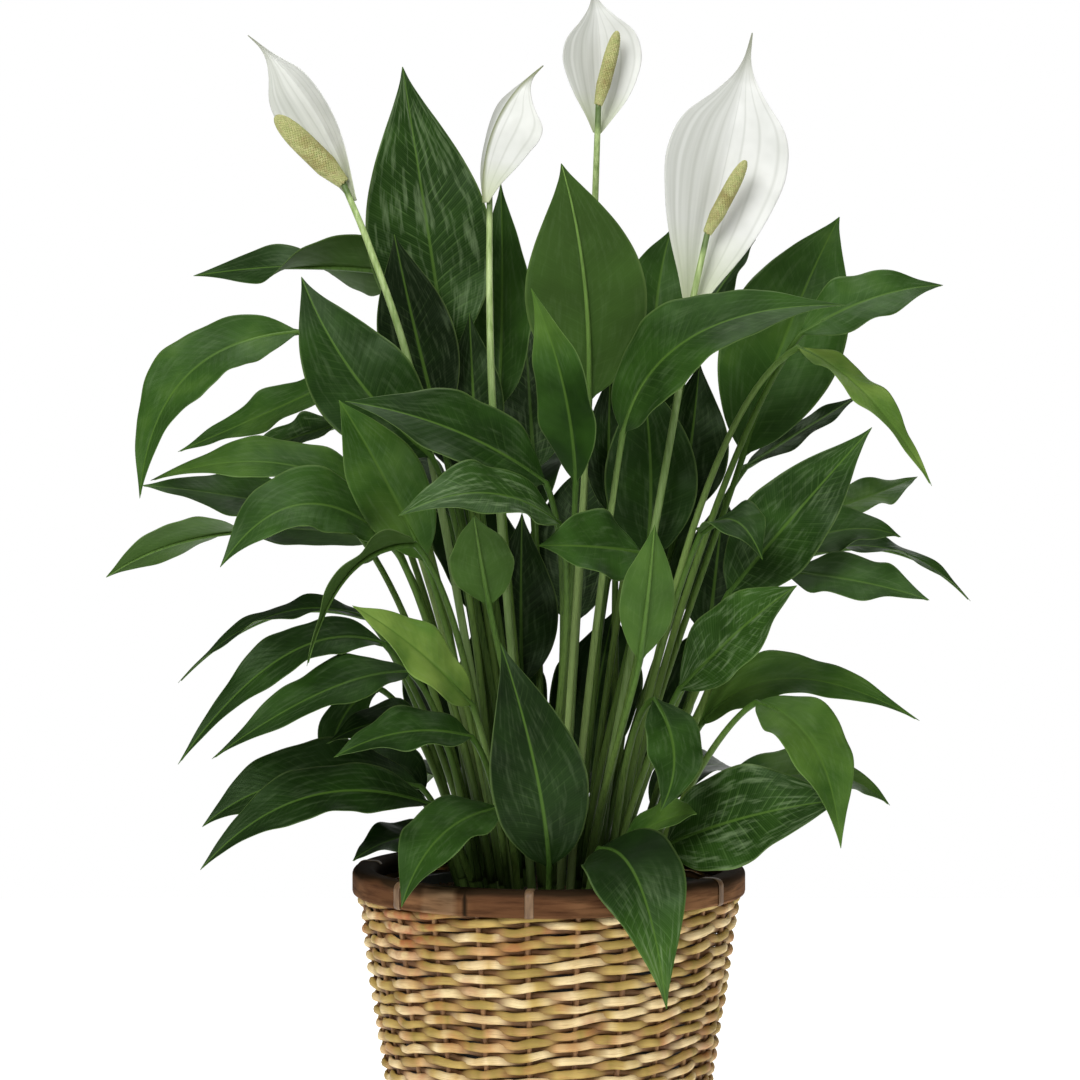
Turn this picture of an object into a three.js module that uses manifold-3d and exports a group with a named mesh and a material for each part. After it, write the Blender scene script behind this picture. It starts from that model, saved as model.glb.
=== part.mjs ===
// Potted peace lily: a full clump of pointed green leaves and four white blooms,
// growing in a plastic pot of soil that stands inside a woven basket with a wooden rim.
//
// Millimetres, +Z up. The origin is the centre of the basket's underside, and the front is -Y.

import * as THREE from 'three';
import { mergeVertices } from 'three/addons/utils/BufferGeometryUtils.js';
import Module from 'manifold-3d';

const wasm = await Module();
wasm.setup();

// ---- Driving dimensions ----------------------------------------------------------------

const gap = 0.3; // running clearance between pieces that touch

const basket = {
  baseRadius: 83, // outer radius at the floor
  flare: 0.17, // outward slope of the wall
  belly: 0.0001, // how much the slope eases off with height
  wall: 6.5,
  floor: 8,
  columns: 32, // two columns make one over-and-under of a strand
  strandRows: 16,
  weaveBottom: 5,
  weaveTop: 182,
  relief: 1.6, // how far the seams between two rows of strands lie in
  over: 0.9, // share of the relief that a strand stands out by where it goes over a stake
  under: -0.3, // and where it goes under
  collarRadius: 110.3, // plain top edge that the rim sits over
  collarStep: 1.5, // height of the step from the weave out to the collar
  height: 196.4,
};

const rim = {
  outerRadius: 115,
  legOuter: 4.3, // thickness of the leg outside the basket
  innerRadius: 100.2,
  legInner: 1.9,
  top: 199.8,
  bottom: 184.5,
  innerBottom: 190,
  round: 2.5, // the edges are rounded over by this much
  columns: 40,
  bindings: [4, 12, 18, 24, 29, 36], // columns where a cane binding is wrapped round the rim
  bindingRaise: 0.9,
};

const growPot = {
  baseRadius: 71,
  topRadius: 95,
  lipRadius: 98.5,
  lipHeight: 10,
  wall: 1.8,
  floor: 3,
  height: 178,
  sides: 32,
  drainHoles: 5,
  drainRadius: 5,
  drainSides: 8,
  drainRing: 45, // distance of the drain holes from the middle
};

const soil = {
  top: 180,
  sides: 24,
  crown: 3, // the soil is a little higher round the stems
  bumps: 1.4,
  clearance: 0.7, // between the soil and the pot's wall
  rings: [1, 0.82, 0.5], // of the top, as shares of its radius
};

const petiole = {
  rootDepth: 16, // how far a stem stands in the soil
  rootRadius: 2.7,
  kneeRadius: 1.7, // radius where the stem meets the blade
  spread: 95, // depth below the soil of the point that the stems fan out from
  sheath: 26, // height above its root at which a stalk lets the next leaf of its shoot go
  rise: 0.33, // how long a stalk keeps to its first direction, as a share of its length
  arrive: 0.2, // and how long it keeps to the direction of the blade
  rings: 4,
};

// Half-width of a blade, as a share of its widest, at each station from knee to tip.
const leafOutline = [
  [0, 0], [0.06, 0.36], [0.15, 0.68], [0.27, 0.92], [0.4, 1], [0.53, 0.93],
  [0.66, 0.73], [0.78, 0.47], [0.88, 0.23], [0.95, 0.08], [1, 0],
];
const spatheOutline = [
  [0, 0.1], [0.1, 0.34], [0.22, 0.64], [0.36, 0.88], [0.52, 1],
  [0.66, 0.8], [0.77, 0.42], [0.86, 0.17], [1, 0],
];

const blade = {
  ribKnee: 1.5, // half thickness of the midrib at the knee
  ribTip: 0.55,
  fold: 0.16, // how far the halves fold up, as a share of their width
  wave: 2.4, // height of the waves along the edges
  waves: 2.6, // waves from knee to tip
  leafPhase: 1.9, // how far the waves are shifted from one leaf to the next
  edgePhase: 2.2, // and from one edge of a leaf to the other
};

const flower = {
  stemRootRadius: 2.8,
  stemRadius: 2.1,
  stemSides: 5,
  stemRings: 9,
  stemSteps: 200, // fineness with which the spathe's foot is found along the stem
  spatheRib: 0.9, // half thickness of the spathe down its middle
  spadixSides: 8,
  spadixRings: 9,
  spadixFoot: 0.5, // radius at the foot, as a share of the widest
  spadixSwell: 0.25, // where along its length it is widest first
  spadixShoulder: 0.55, // where along its length it starts to close in
  spadixBlunt: 2.4,
  floretBump: 0.32, // height of the florets on the spadix
};

const swing = { step: 2, tries: 25 }; // degrees that a shoot is turned by until it hangs clear

const finishes = {
  basket: { color: 0xc9a771, roughness: 0.7, metalness: 0 },
  rim: { color: 0x5a3420, roughness: 0.5, metalness: 0 },
  grow_pot: { color: 0x1c1c1b, roughness: 0.55, metalness: 0 },
  soil: { color: 0x2e2119, roughness: 0.95, metalness: 0 },
  leaf: { color: 0x2f6427, roughness: 0.4, metalness: 0 },
  stem: { color: 0x7f9c4d, roughness: 0.5, metalness: 0 },
  spathe: { color: 0xf3f3ee, roughness: 0.45, metalness: 0 },
  spadix: { color: 0xc7c66f, roughness: 0.7, metalness: 0 },
};

// ---- The leaves ------------------------------------------------------------------------
// Each row: name, knee, belly (the midrib halfway along), tip, width, the way that the upper
// side looks, and what is special: tipFace, fold, wave, and the shoot that it grows in.

const leaves = [
  ['tall_left', [-60, 40, 497], [-73, 42, 582], [-86, 36, 667], 74, [0, -1, 0.1],
    { shoot: 'tall_left' }],
  ['center_tall', [23, -12, 470], [20, -25, 541], [7, -35, 604], 70, [0, 1, 0.1]],
  ['right_tall', [113, 5, 438], [143, 25, 518], [172, 40, 579], 71, [0, -1, 0.1]],
  ['left_arch', [-143, -15, 509], [-205, -45, 483], [-228, -75, 414], 46, [-0.2, -0.8, 0.6],
    { tipFace: [-0.6, -0.8, 0.3], shoot: 'left_arch' }],
  ['left_broad', [-67, -42, 438], [-111, -45, 485], [-141, -30, 540], 58, [0, -1, 0.3],
    { shoot: 'left_arch' }],
  ['left_twist', [-89, 75, 546], [-146, 95, 553], [-218, 115, 548], 50, [0, 0.9, 0.3],
    { tipFace: [0, -0.9, 0.4] }],
  ['right_sweep', [42, -42, 451], [81, -72, 505], [166, -68, 522], 56, [0, -0.7, 0.7]],
  ['right_far', [145, -14, 508], [185, -20, 528], [227, -12, 536], 42, [0, -0.7, 0.7],
    { shoot: 'right_far' }],
  ['right_drop_thin', [143, -20, 500], [180, -45, 472], [214, -70, 421], 28, [0.5, -0.6, 0.6],
    { shoot: 'right_far' }],
  ['center_wide', [-2, -72, 423], [-52, -95, 452], [-112, -102, 468], 52, [0, -0.75, 0.65],
    { shoot: 'center_wide' }],
  ['front_dark', [0, -80, 209], [-8, -100, 268], [-27, -92, 335], 54, [0.1, -1, 0.2]],
  ['front_hang', [28, -80, 219], [49, -120, 205], [63, -150, 141], 54, [0.1, -0.8, 0.6]],
  ['front_left_drop', [-27, -72, 241], [-60, -108, 229], [-80, -135, 194], 44, [-0.3, -0.7, 0.6]],
  ['right_broad', [102, -45, 360], [138, -62, 405], [180, -75, 454], 50, [0, -0.9, 0.4],
    { shoot: 'right_broad' }],
  ['right_veined', [74, -50, 306], [107, -80, 342], [136, -105, 367], 42, [0, -0.85, 0.5],
    { shoot: 'right_veined' }],
  ['right_low_broad', [66, -55, 218], [112, -85, 238], [163, -110, 250], 61, [0.1, -0.85, 0.5],
    { shoot: 'right_low_broad' }],
  ['right_arch', [87, -20, 283], [137, -35, 311], [210, -50, 288], 40, [0, -0.6, 0.8],
    { shoot: 'right_arch' }],
  ['right_drop_bright', [116, -70, 300], [146, -100, 278], [159, -120, 224], 44, [0.4, -0.8, 0.4],
    { shoot: 'right_drop_bright' }],
  ['left_low_broad', [-74, -15, 247], [-144, -25, 252], [-198, -35, 226], 50, [0, -0.7, 0.7],
    { shoot: 'left_low_broad' }],
  ['left_low_second', [-67, -45, 240], [-135, -70, 247], [-193, -95, 209], 40, [0, -0.65, 0.75],
    { shoot: 'left_low_second' }],
  ['left_narrow', [-127, 55, 482], [-172, 65, 462], [-224, 80, 440], 32, [0, -0.7, 0.7],
    { shoot: 'left_narrow' }],
  ['left_small', [-129, 85, 456], [-161, 105, 447], [-190, 125, 438], 34, [0, -0.7, 0.7],
    { shoot: 'left_narrow' }],
  ['left_light', [-99, -35, 410], [-155, -50, 434], [-224, -60, 424], 42, [0, -0.6, 0.8],
    { shoot: 'left_mid' }],
  ['left_flat', [-118, -5, 401], [-178, -15, 414], [-234, -20, 421], 40, [0, -0.6, 0.75],
    { shoot: 'left_far' }],
  ['left_mid', [-89, -55, 390], [-138, -85, 411], [-180, -110, 377], 50, [0, -0.75, 0.7],
    { shoot: 'left_mid' }],
  ['left_far', [-96, 18, 389], [-190, 22, 393], [-261, 30, 366], 54, [0, -0.75, 0.7],
    { tipFace: [0, 0.85, 0.5], shoot: 'left_far' }],
  ['left_inner', [-73, -45, 379], [-99, -65, 430], [-122, -72, 469], 44, [0, -0.9, 0.3],
    { shoot: 'left_inner' }],
  ['left_down_dark', [-80, -76, 389], [-117, -108, 375], [-140, -134, 325], 34, [-0.3, 0.4, 0.8],
    { shoot: 'left_inner' }],
  ['left_thin_high', [-107, 15, 343], [-165, 30, 343], [-223, 45, 302], 26, [0, -0.35, 0.9],
    { shoot: 'left_thin_high' }],
  ['left_thin_low', [-94, -25, 330], [-149, -45, 325], [-209, -60, 264], 34, [0, -0.6, 0.8],
    { shoot: 'left_mid_low' }],
  ['left_bright', [-43, -75, 299], [-73, -105, 332], [-107, -125, 357], 42, [0.2, -0.8, 0.6]],
  ['left_mid_low', [-79, -40, 315], [-126, -65, 306], [-187, -90, 270], 38, [0, -0.55, 0.8],
    { shoot: 'left_mid_low' }],
  ['left_drop_dark', [-99, 5, 302], [-121, 0, 283], [-131, -5, 239], 28, [-0.5, -0.7, 0.5],
    { shoot: 'left_thin_high' }],
  ['left_dark_low', [-37, -88, 282], [-73, -106, 286], [-110, -118, 273], 36, [0, -0.6, 0.8]],
  ['left_dark_behind', [-62, -35, 279], [-93, -45, 287], [-126, -50, 275], 34, [0, -0.5, 0.8],
    { shoot: 'left_low_second' }],
  ['left_shade', [-75, 42, 234], [-105, 60, 249], [-135, 75, 230], 46, [0, -0.6, 0.8]],
  ['left_rim', [-62, -15, 221], [-89, -35, 219], [-111, -54, 209], 30, [-0.2, -0.6, 0.8],
    { shoot: 'left_low_broad' }],
  ['shade_tall', [-64, 30, 453], [-79, 22, 515], [-90, 14, 567], 46, [0, -1, 0], { shoot: 'tall_left' }],
  ['back_dark', [-26, 60, 465], [-22, 85, 532], [-22, 100, 604], 44, [-0.4, -0.8, 0.1]],
  ['back_right', [64, 70, 504], [67, 85, 541], [75, 95, 576], 42, [0, -1, 0]],
  ['center_bright', [15, -62, 423], [8, -75, 477], [-10, -78, 531], 36, [-0.5, -0.8, 0.1],
    { shoot: 'center_wide' }],
  ['center_back', [57, 0, 377], [59, 0, 435], [53, 5, 488], 54, [0, -1, 0.1]],
  ['right_thin_dark', [90, 45, 518], [104, 60, 540], [125, 75, 569], 26, [-0.5, -0.5, 0.6],
    { shoot: 'right_dark_thin' }],
  ['right_dark_thin', [118, 60, 431], [157, 85, 455], [193, 110, 476], 17, [0, -0.6, 0.7],
    { shoot: 'right_dark_thin' }],
  ['right_light', [161, 40, 404], [194, 65, 414], [225, 95, 425], 32, [0, -0.5, 0.8],
    { shoot: 'right_light' }],
  ['right_mid_tip', [128, -10, 378], [168, -15, 395], [203, -15, 391], 40, [0, -0.6, 0.8],
    { shoot: 'right_arch' }],
  ['right_hook', [150, 30, 379], [204, 30, 382], [249, 30, 352], 24, [0, -0.3, 1],
    { shoot: 'right_light' }],
  ['right_low_mid', [135, -35, 372], [176, -60, 367], [211, -85, 358], 38, [0, -0.65, 0.75],
    { shoot: 'right_drop_bright' }],
  ['right_low_back', [101, 30, 235], [160, 45, 249], [205, 60, 228], 46, [0, -0.5, 0.8]],
  ['center_veined', [2, -90, 401], [-39, -124, 418], [-86, -146, 406], 48, [0, -0.65, 0.75],
    { shoot: 'center_veined' }],
  ['center_small_left', [-36, -75, 355], [-41, -90, 382], [-45, -105, 406], 36, [0, 0.9, 0.4],
    { shoot: 'center_veined' }],
  ['center_mid', [51, -72, 384], [24, -95, 388], [-6, -112, 389], 46, [0, -0.85, 0.5],
    { shoot: 'center_mid' }],
  ['center_light', [50, -100, 326], [54, -120, 365], [57, -130, 401], 30, [0, 0.95, 0.3],
    { shoot: 'center_mid' }],
  ['center_right_small', [86, -58, 395], [103, -85, 402], [117, -105, 381], 36, [0, -0.5, 0.8],
    { shoot: 'right_broad' }],
  ['low_center_right', [59, -75, 302], [69, -95, 273], [61, -108, 243], 34, [0.3, -0.8, 0.5],
    { shoot: 'right_veined' }],
  ['low_olive', [41, -56, 219], [63, -76, 234], [82, -90, 240], 38, [0, -0.6, 0.8],
    { shoot: 'right_low_broad' }],
];

// Behind, where the photo does not show them, leaves stand in tiers round the back of the clump.
// Each tier: how far out and how high the knee is, how far the blade reaches from it, how much
// the belly and the tip rise above the knee, and the width.
const back = {
  leaves: 16,
  shoot: 2, // leaves that grow together
  from: 25, // degrees round from +X
  to: 150,
  jitter: 5, // degrees that a leaf stands off its even place
  widthSpread: 4,
  lean: 0.25, // how far a blade's upper side leans over sideways
  pace: { jitter: 8.8, width: 5.3, lean: 4 }, // radians from leaf to leaf in each of these
  tiers: [
    { out: 66, height: 246, reach: 52, rise: 56, lift: 96, width: 55 },
    { out: 72, height: 336, reach: 46, rise: 56, lift: 98, width: 56 },
    { out: 80, height: 226, reach: 106, rise: 24, lift: -10, width: 47 },
    { out: 80, height: 428, reach: 58, rise: 52, lift: 98, width: 53 },
    { out: 84, height: 400, reach: 96, rise: 30, lift: 4, width: 49 },
  ],
};

// In the shade among the stalks, leaves close the middle of the clump. Rows are as above.
const innerLeaves = [
  ['inner_right', [78, 40, 402], [85, 46, 447], [90, 52, 494], 46, [0, -1, 0.1],
    { shoot: 'back_right' }],
  ['inner_mid', [35, 3, 405], [35, 5, 448], [36, 8, 488], 28, [0, -1, 0.1],
    { shoot: 'center_back' }],
  ['inner_low', [94, 22, 332], [99, 28, 374], [104, 34, 416], 44, [0, -1, 0.1],
    { shoot: 'right_light' }],
  ['inner_left', [-40, 34, 430], [-42, 38, 476], [-44, 40, 522], 36, [0, -1, 0.1],
    { shoot: 'back_dark' }],
  ['inner_dark', [-13, 42, 302], [-13, 48, 352], [-12, 54, 404], 44, [0, -1, 0.1],
    { shoot: 'back_dark' }],
];

// ---- The blooms ------------------------------------------------------------------------
// The stem bends through its points to the spadix. The spathe leaves the back of the stem at
// the height `from`, and rises behind the spadix.

const blooms = [
  {
    name: 'left',
    stem: [[-78, -14, 482], [-104, -6, 560]],
    spadix: { base: [-119, 0, 596], top: [-158, -6, 634], radius: 6.4 },
    spathe: {
      from: 584, belly: [-138, 8.5, 642], tip: [-174, 2, 681],
      width: 42, face: [-0.6, -0.75, -0.3], cup: 0.5,
    },
  },
  {
    name: 'middle',
    stem: [[-32, -20, 464], [-34, -14, 530]],
    spadix: { base: [-34, -8, 591], top: [-16, 0, 632], radius: 4 },
    spathe: {
      from: 582, belly: [-30, -12, 628], tip: [-3, -12, 662],
      width: 58, face: [0.8, 0.5, 0], cup: 0.45,
    },
  },
  {
    name: 'top',
    stem: [[24, 22, 480], [27, 8, 585]],
    spadix: { base: [28.6, -10, 640], top: [39.5, -14, 682], radius: 3.8 },
    spathe: {
      from: 624, belly: [28, 0, 668], tip: [22, -6, 712],
      width: 46, face: [0.1, -1, 0.1], cup: 0.35,
    },
  },
  {
    name: 'right',
    stem: [[72, -20, 460], [81, -30, 521]],
    spadix: { base: [90.4, -30, 565], top: [112, -36, 606], radius: 4 },
    spathe: {
      from: 521, belly: [101, -18, 604], tip: [116, -26, 679],
      width: 70, face: [0.05, -1, 0.1], cup: 0.22,
    },
  },
];

// ---- Solids from rings of points ---------------------------------------------------------

const vector = ([x, y, z]) => new THREE.Vector3(x, y, z);

// Makes one closed geometry, with its doubled points merged and its faces pointing out.
function closedGeometry(points, faces) {
  const rough = new THREE.BufferGeometry();
  rough.setAttribute('position', new THREE.Float32BufferAttribute(points.flatMap((p) => p.toArray()), 3));
  rough.setIndex(faces);
  const geometry = mergeVertices(rough, 1e-3);
  const index = geometry.getIndex().array;
  const kept = [];
  for (let i = 0; i < index.length; i += 3) {
    const [a, b, c] = index.slice(i, i + 3);
    if (a !== b && b !== c && c !== a) kept.push(a, b, c);
  }
  if (signedVolume(geometry.getAttribute('position').array, kept) < 0) kept.reverse();
  geometry.setIndex(kept);
  return geometry;
}

function signedVolume(xyz, index) {
  const at = (i) => new THREE.Vector3(xyz[3 * i], xyz[3 * i + 1], xyz[3 * i + 2]);
  let sum = 0;
  for (let i = 0; i < index.length; i += 3) {
    sum += at(index[i]).dot(at(index[i + 1]).cross(at(index[i + 2])));
  }
  return sum / 6;
}

// Joins rings that have the same number of points. Both ends are capped, unless the rings
// run round into a loop. A blade's upper and lower faces get the same diagonals.
function loft(rings, loop = false) {
  const count = rings[0].length;
  const points = rings.flat();
  const faces = [];
  const spans = loop ? rings.length : rings.length - 1;
  for (let i = 0; i < spans; i += 1) {
    const near = i * count;
    const far = ((i + 1) % rings.length) * count;
    for (let j = 0; j < count; j += 1) {
      const next = (j + 1) % count;
      const [a, b, c, d] = [near + j, near + next, far + next, far + j];
      const outerFirst = Math.floor((4 * j) / count) % 2 === 0;
      if (outerFirst) faces.push(a, d, c, a, c, b);
      else faces.push(a, d, b, b, d, c);
    }
  }
  if (!loop) {
    capRing(points, faces, 0, count, false);
    capRing(points, faces, (rings.length - 1) * count, count, true);
  }
  return closedGeometry(points, faces);
}

function capRing(points, faces, start, count, turned) {
  const middle = new THREE.Vector3();
  for (let j = 0; j < count; j += 1) middle.addScaledVector(points[start + j], 1 / count);
  points.push(middle);
  const hub = points.length - 1;
  for (let j = 0; j < count; j += 1) {
    const a = start + j;
    const b = start + ((j + 1) % count);
    faces.push(...(turned ? [hub, b, a] : [hub, a, b]));
  }
}

function circle(radius, z, sides) {
  return Array.from({ length: sides }, (_, j) => {
    const angle = (2 * Math.PI * j) / sides;
    const r = typeof radius === 'function' ? radius(j, angle) : radius;
    return new THREE.Vector3(r * Math.cos(angle), r * Math.sin(angle), z);
  });
}

function toSolid(geometry) {
  return new wasm.Manifold(new wasm.Mesh({
    numProp: 3,
    vertProperties: Float32Array.from(geometry.getAttribute('position').array),
    triVerts: Uint32Array.from(geometry.getIndex().array),
  }));
}

function toGeometry(solid) {
  const mesh = solid.getMesh();
  const geometry = new THREE.BufferGeometry();
  geometry.setAttribute('position', new THREE.BufferAttribute(mesh.vertProperties, 3));
  geometry.setIndex(new THREE.BufferAttribute(mesh.triVerts, 1));
  return geometry;
}

// ---- Basket, rim, pot ----------------------------------------------------------------------

const wallRadius = (z) => basket.baseRadius + basket.flare * z - basket.belly * z * z;

// The woven wall is raised and sunk strand by strand, each row going over where the next goes under.
function basketGeometry() {
  const { columns, strandRows, weaveBottom, weaveTop, relief, over, under } = basket;
  const pitch = (weaveTop - weaveBottom) / strandRows;
  const rings = [circle(wallRadius(0) - relief, 0, columns)];
  for (let row = 0; row < strandRows; row += 1) {
    const z = weaveBottom + pitch * (row + 0.5);
    const seam = z - pitch / 2;
    rings.push(circle(wallRadius(seam) - relief, seam, columns));
    rings.push(circle((j) => wallRadius(z) + relief * ((j + row) % 2 ? over : under), z, columns));
  }
  rings.push(circle(wallRadius(weaveTop) - relief, weaveTop, columns));
  rings.push(circle(basket.collarRadius, weaveTop + basket.collarStep, columns));
  rings.push(circle(basket.collarRadius, basket.height, columns));
  rings.push(circle(basket.collarRadius - basket.wall, basket.height, columns));
  rings.push(circle(wallRadius(basket.floor) - basket.wall, basket.floor, columns));
  return loft(rings);
}

// The rim is a band of wood bent over the basket's edge, with cane bindings wrapped round it.
function rimGeometry() {
  const { columns, bindings, bindingRaise, bottom, top, innerBottom, round } = rim;
  const raise = (j) => (bindings.some((b) => j === b || j === b + 1) ? bindingRaise : 0);
  const outer = (j) => rim.outerRadius - bindingRaise + raise(j);
  const inner = (j) => rim.innerRadius - raise(j);
  const outerSlot = rim.outerRadius - rim.legOuter;
  const innerSlot = rim.innerRadius + rim.legInner;
  const slotTop = basket.height + gap;
  const rings = [
    circle(outerSlot, bottom, columns),
    circle((j) => outer(j) - round / 2, bottom, columns),
    circle(outer, bottom + round, columns),
    circle(outer, top - round, columns),
    circle((j) => outer(j) - round, top, columns),
    circle((j) => inner(j) + round, top, columns),
    circle(inner, top - round, columns),
    circle(rim.innerRadius, innerBottom, columns),
    circle(innerSlot, innerBottom, columns),
    circle(innerSlot, slotTop, columns),
    circle(outerSlot, slotTop, columns),
  ];
  return loft(rings, true);
}

const potFloor = basket.floor + gap;
const potTop = potFloor + growPot.height;
const potInner = (z) => {
  const share = (z - potFloor) / growPot.height;
  return growPot.baseRadius + (growPot.topRadius - growPot.baseRadius) * share - growPot.wall;
};

// A thin tapered nursery pot with a rolled lip and drain holes in its floor.
function growPotGeometry() {
  const { sides, wall, lipRadius, lipHeight, baseRadius, drainRadius, drainSides } = growPot;
  const inside = potFloor + growPot.floor;
  const rings = [
    circle(baseRadius, potFloor, sides),
    circle(potInner(potTop - lipHeight) + wall, potTop - lipHeight, sides),
    circle(lipRadius, potTop - lipHeight, sides),
    circle(lipRadius, potTop, sides),
    circle(potInner(potTop), potTop, sides),
    circle(potInner(inside), inside, sides),
  ];
  let solid = toSolid(loft(rings));
  for (let k = 0; k < growPot.drainHoles; k += 1) {
    const drill = new THREE.CylinderGeometry(drainRadius, drainRadius, 4 * growPot.floor, drainSides);
    drill.rotateX(Math.PI / 2);
    const angle = (2 * Math.PI * k) / growPot.drainHoles;
    drill.translate(growPot.drainRing * Math.cos(angle), growPot.drainRing * Math.sin(angle), inside);
    drill.deleteAttribute('normal');
    drill.deleteAttribute('uv');
    solid = solid.subtract(toSolid(mergeVertices(drill)));
  }
  return toGeometry(solid);
}

// The soil fills the pot. Its top is bumpy and a little higher in the middle.
function soilGeometry() {
  const { sides, top, crown, bumps, clearance } = soil;
  const bottom = potFloor + growPot.floor + gap;
  const edge = potInner(top) - clearance;
  const surface = (share) => circle(edge * share, 0, sides).map((p, j) => {
    const bump = bumps * Math.sin(2.1 * j + 9 * share) * Math.min(1, 3 * (1 - share));
    return new THREE.Vector3(p.x, p.y, top + crown * (1 - share * share) + bump);
  });
  return loft([circle(potInner(bottom) - clearance, bottom, sides), ...soil.rings.map(surface)]);
}

// ---- Leaves --------------------------------------------------------------------------------

// The control point that makes a quadratic curve pass through the belly halfway along.
function midrib(knee, belly, tip) {
  const control = belly.clone().multiplyScalar(2).addScaledVector(knee, -0.5).addScaledVector(tip, -0.5);
  return new THREE.QuadraticBezierCurve3(knee, control, tip);
}

const across = (normal, along) => normal.clone().addScaledVector(along, -normal.dot(along)).normalize();

function diamond(center, side, up, halfWidth, halfThick) {
  return [
    center.clone().addScaledVector(side, halfWidth),
    center.clone().addScaledVector(up, halfThick),
    center.clone().addScaledVector(side, -halfWidth),
    center.clone().addScaledVector(up, -halfThick),
  ];
}

// Where a stem that reaches this point comes out of the crown, a little below the soil's top.
function rootOf(point) {
  const share = petiole.spread / (petiole.spread + point.z - soil.top);
  return new THREE.Vector3(point.x * share, point.y * share, soil.top - petiole.rootDepth);
}

function leafRings(leaf, path, grow) {
  const curve = leafMidrib(leaf);
  const faceKnee = vector(leaf.face);
  const faceTip = vector(leaf.tipFace ?? leaf.face);
  const rings = leafOutline.map(([s, share]) => {
    const along = curve.getTangent(s);
    const up = across(faceKnee.clone().lerp(faceTip, s), along);
    const side = along.clone().cross(up);
    const fuller = s < 1 ? grow : 0;
    const half = Math.max((share * leaf.width) / 2, s === 0 ? petiole.kneeRadius : 0) + fuller;
    const rib = s < 1 ? THREE.MathUtils.lerp(blade.ribKnee, blade.ribTip, s) + fuller : 0;
    const ring = diamond(curve.getPoint(s), side, up, half, rib);
    const phase = 2 * Math.PI * blade.waves * s + blade.leafPhase * leaf.order;
    const lift = (leaf.fold * share * leaf.width) / 2;
    ring[0].addScaledVector(up, lift + leaf.wave * share * Math.sin(phase));
    ring[2].addScaledVector(up, lift + leaf.wave * share * Math.sin(phase + blade.edgePhase));
    return ring;
  });
  const kneeUp = across(faceKnee, curve.getTangent(0));
  return [...petioleRings(path, kneeUp, grow), ...rings];
}

const leafMidrib = (leaf) => midrib(vector(leaf.knee), vector(leaf.belly), vector(leaf.tip));

// The leaf stalk leaves its root nearly upright and bends over to the blade at the knee.
function petiolePath(leaf, root) {
  const knee = vector(leaf.knee);
  const length = root.distanceTo(knee);
  const straight = knee.clone().sub(root).normalize();
  const rise = new THREE.Vector3(0, 0, 1).add(straight).normalize();
  const arrive = straight.clone().add(leafMidrib(leaf).getTangent(0)).normalize();
  return new THREE.CubicBezierCurve3(
    root,
    root.clone().addScaledVector(rise, petiole.rise * length),
    knee.clone().addScaledVector(arrive, -petiole.arrive * length),
    knee,
  );
}

function petioleRings(path, kneeUp, grow) {
  const rings = [];
  let up = kneeUp;
  for (let i = petiole.rings - 1; i >= 0; i -= 1) {
    const s = i / petiole.rings;
    const along = path.getTangent(s);
    up = across(up, along);
    const radius = THREE.MathUtils.lerp(petiole.rootRadius, petiole.kneeRadius, s) + grow;
    const center = path.getPoint(s).addScaledVector(along, i === 0 ? -grow : 0);
    rings.unshift(diamond(center, along.clone().cross(up), up, radius, radius));
  }
  return rings;
}

function backLeaves() {
  const { from, to, pace, tiers } = back;
  return Array.from({ length: back.leaves }, (_, i) => {
    const tier = tiers[i % tiers.length];
    const turn = from + ((to - from) * (i + 0.5)) / back.leaves + back.jitter * Math.sin(pace.jitter * i);
    const angle = THREE.MathUtils.degToRad(turn);
    const at = (radius, z) => [radius * Math.cos(angle), radius * Math.sin(angle), z];
    const standing = tier.lift > tier.rise;
    return [
      `back_${i + 1}`,
      at(tier.out, tier.height),
      at(tier.out + tier.reach / 2, tier.height + tier.rise),
      at(tier.out + tier.reach, tier.height + tier.lift),
      tier.width + back.widthSpread * Math.sin(pace.width * i),
      standing ? at(-1, 0.2) : [back.lean * Math.sin(pace.lean * i), 0, 1],
      { shoot: `back_${back.shoot * Math.floor(i / back.shoot) + 1}` },
    ];
  });
}

// ---- Blooms --------------------------------------------------------------------------------

const spadixLine = (bloom) => [vector(bloom.spadix.base), vector(bloom.spadix.top)];

function stemPath(bloom) {
  const points = bloom.stem.map(vector);
  return new THREE.CatmullRomCurve3([rootOf(points[0]), ...points, vector(bloom.spadix.base)]);
}

// The last ring of the stem is square to the spadix that stands on it.
function stemGeometry(bloom, grow = 0) {
  const path = stemPath(bloom);
  const [foot, top] = spadixLine(bloom);
  const { stemRings, stemSides, stemRootRadius, stemRadius } = flower;
  const rings = [];
  let side = new THREE.Vector3(1, 0, 0);
  for (let i = 0; i <= stemRings; i += 1) {
    const s = i / stemRings;
    const along = i < stemRings ? path.getTangent(s) : top.clone().sub(foot).normalize();
    side = across(side, along);
    const up = along.clone().cross(side);
    const radius = THREE.MathUtils.lerp(stemRootRadius, stemRadius, s) + grow;
    const center = path.getPoint(s).addScaledVector(along, i === 0 ? -grow : 0);
    rings.push(Array.from({ length: stemSides }, (_, j) => {
      const angle = (2 * Math.PI * j) / stemSides;
      return center.clone().addScaledVector(side, radius * Math.cos(angle))
        .addScaledVector(up, radius * Math.sin(angle));
    }));
  }
  return loft(rings);
}

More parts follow.
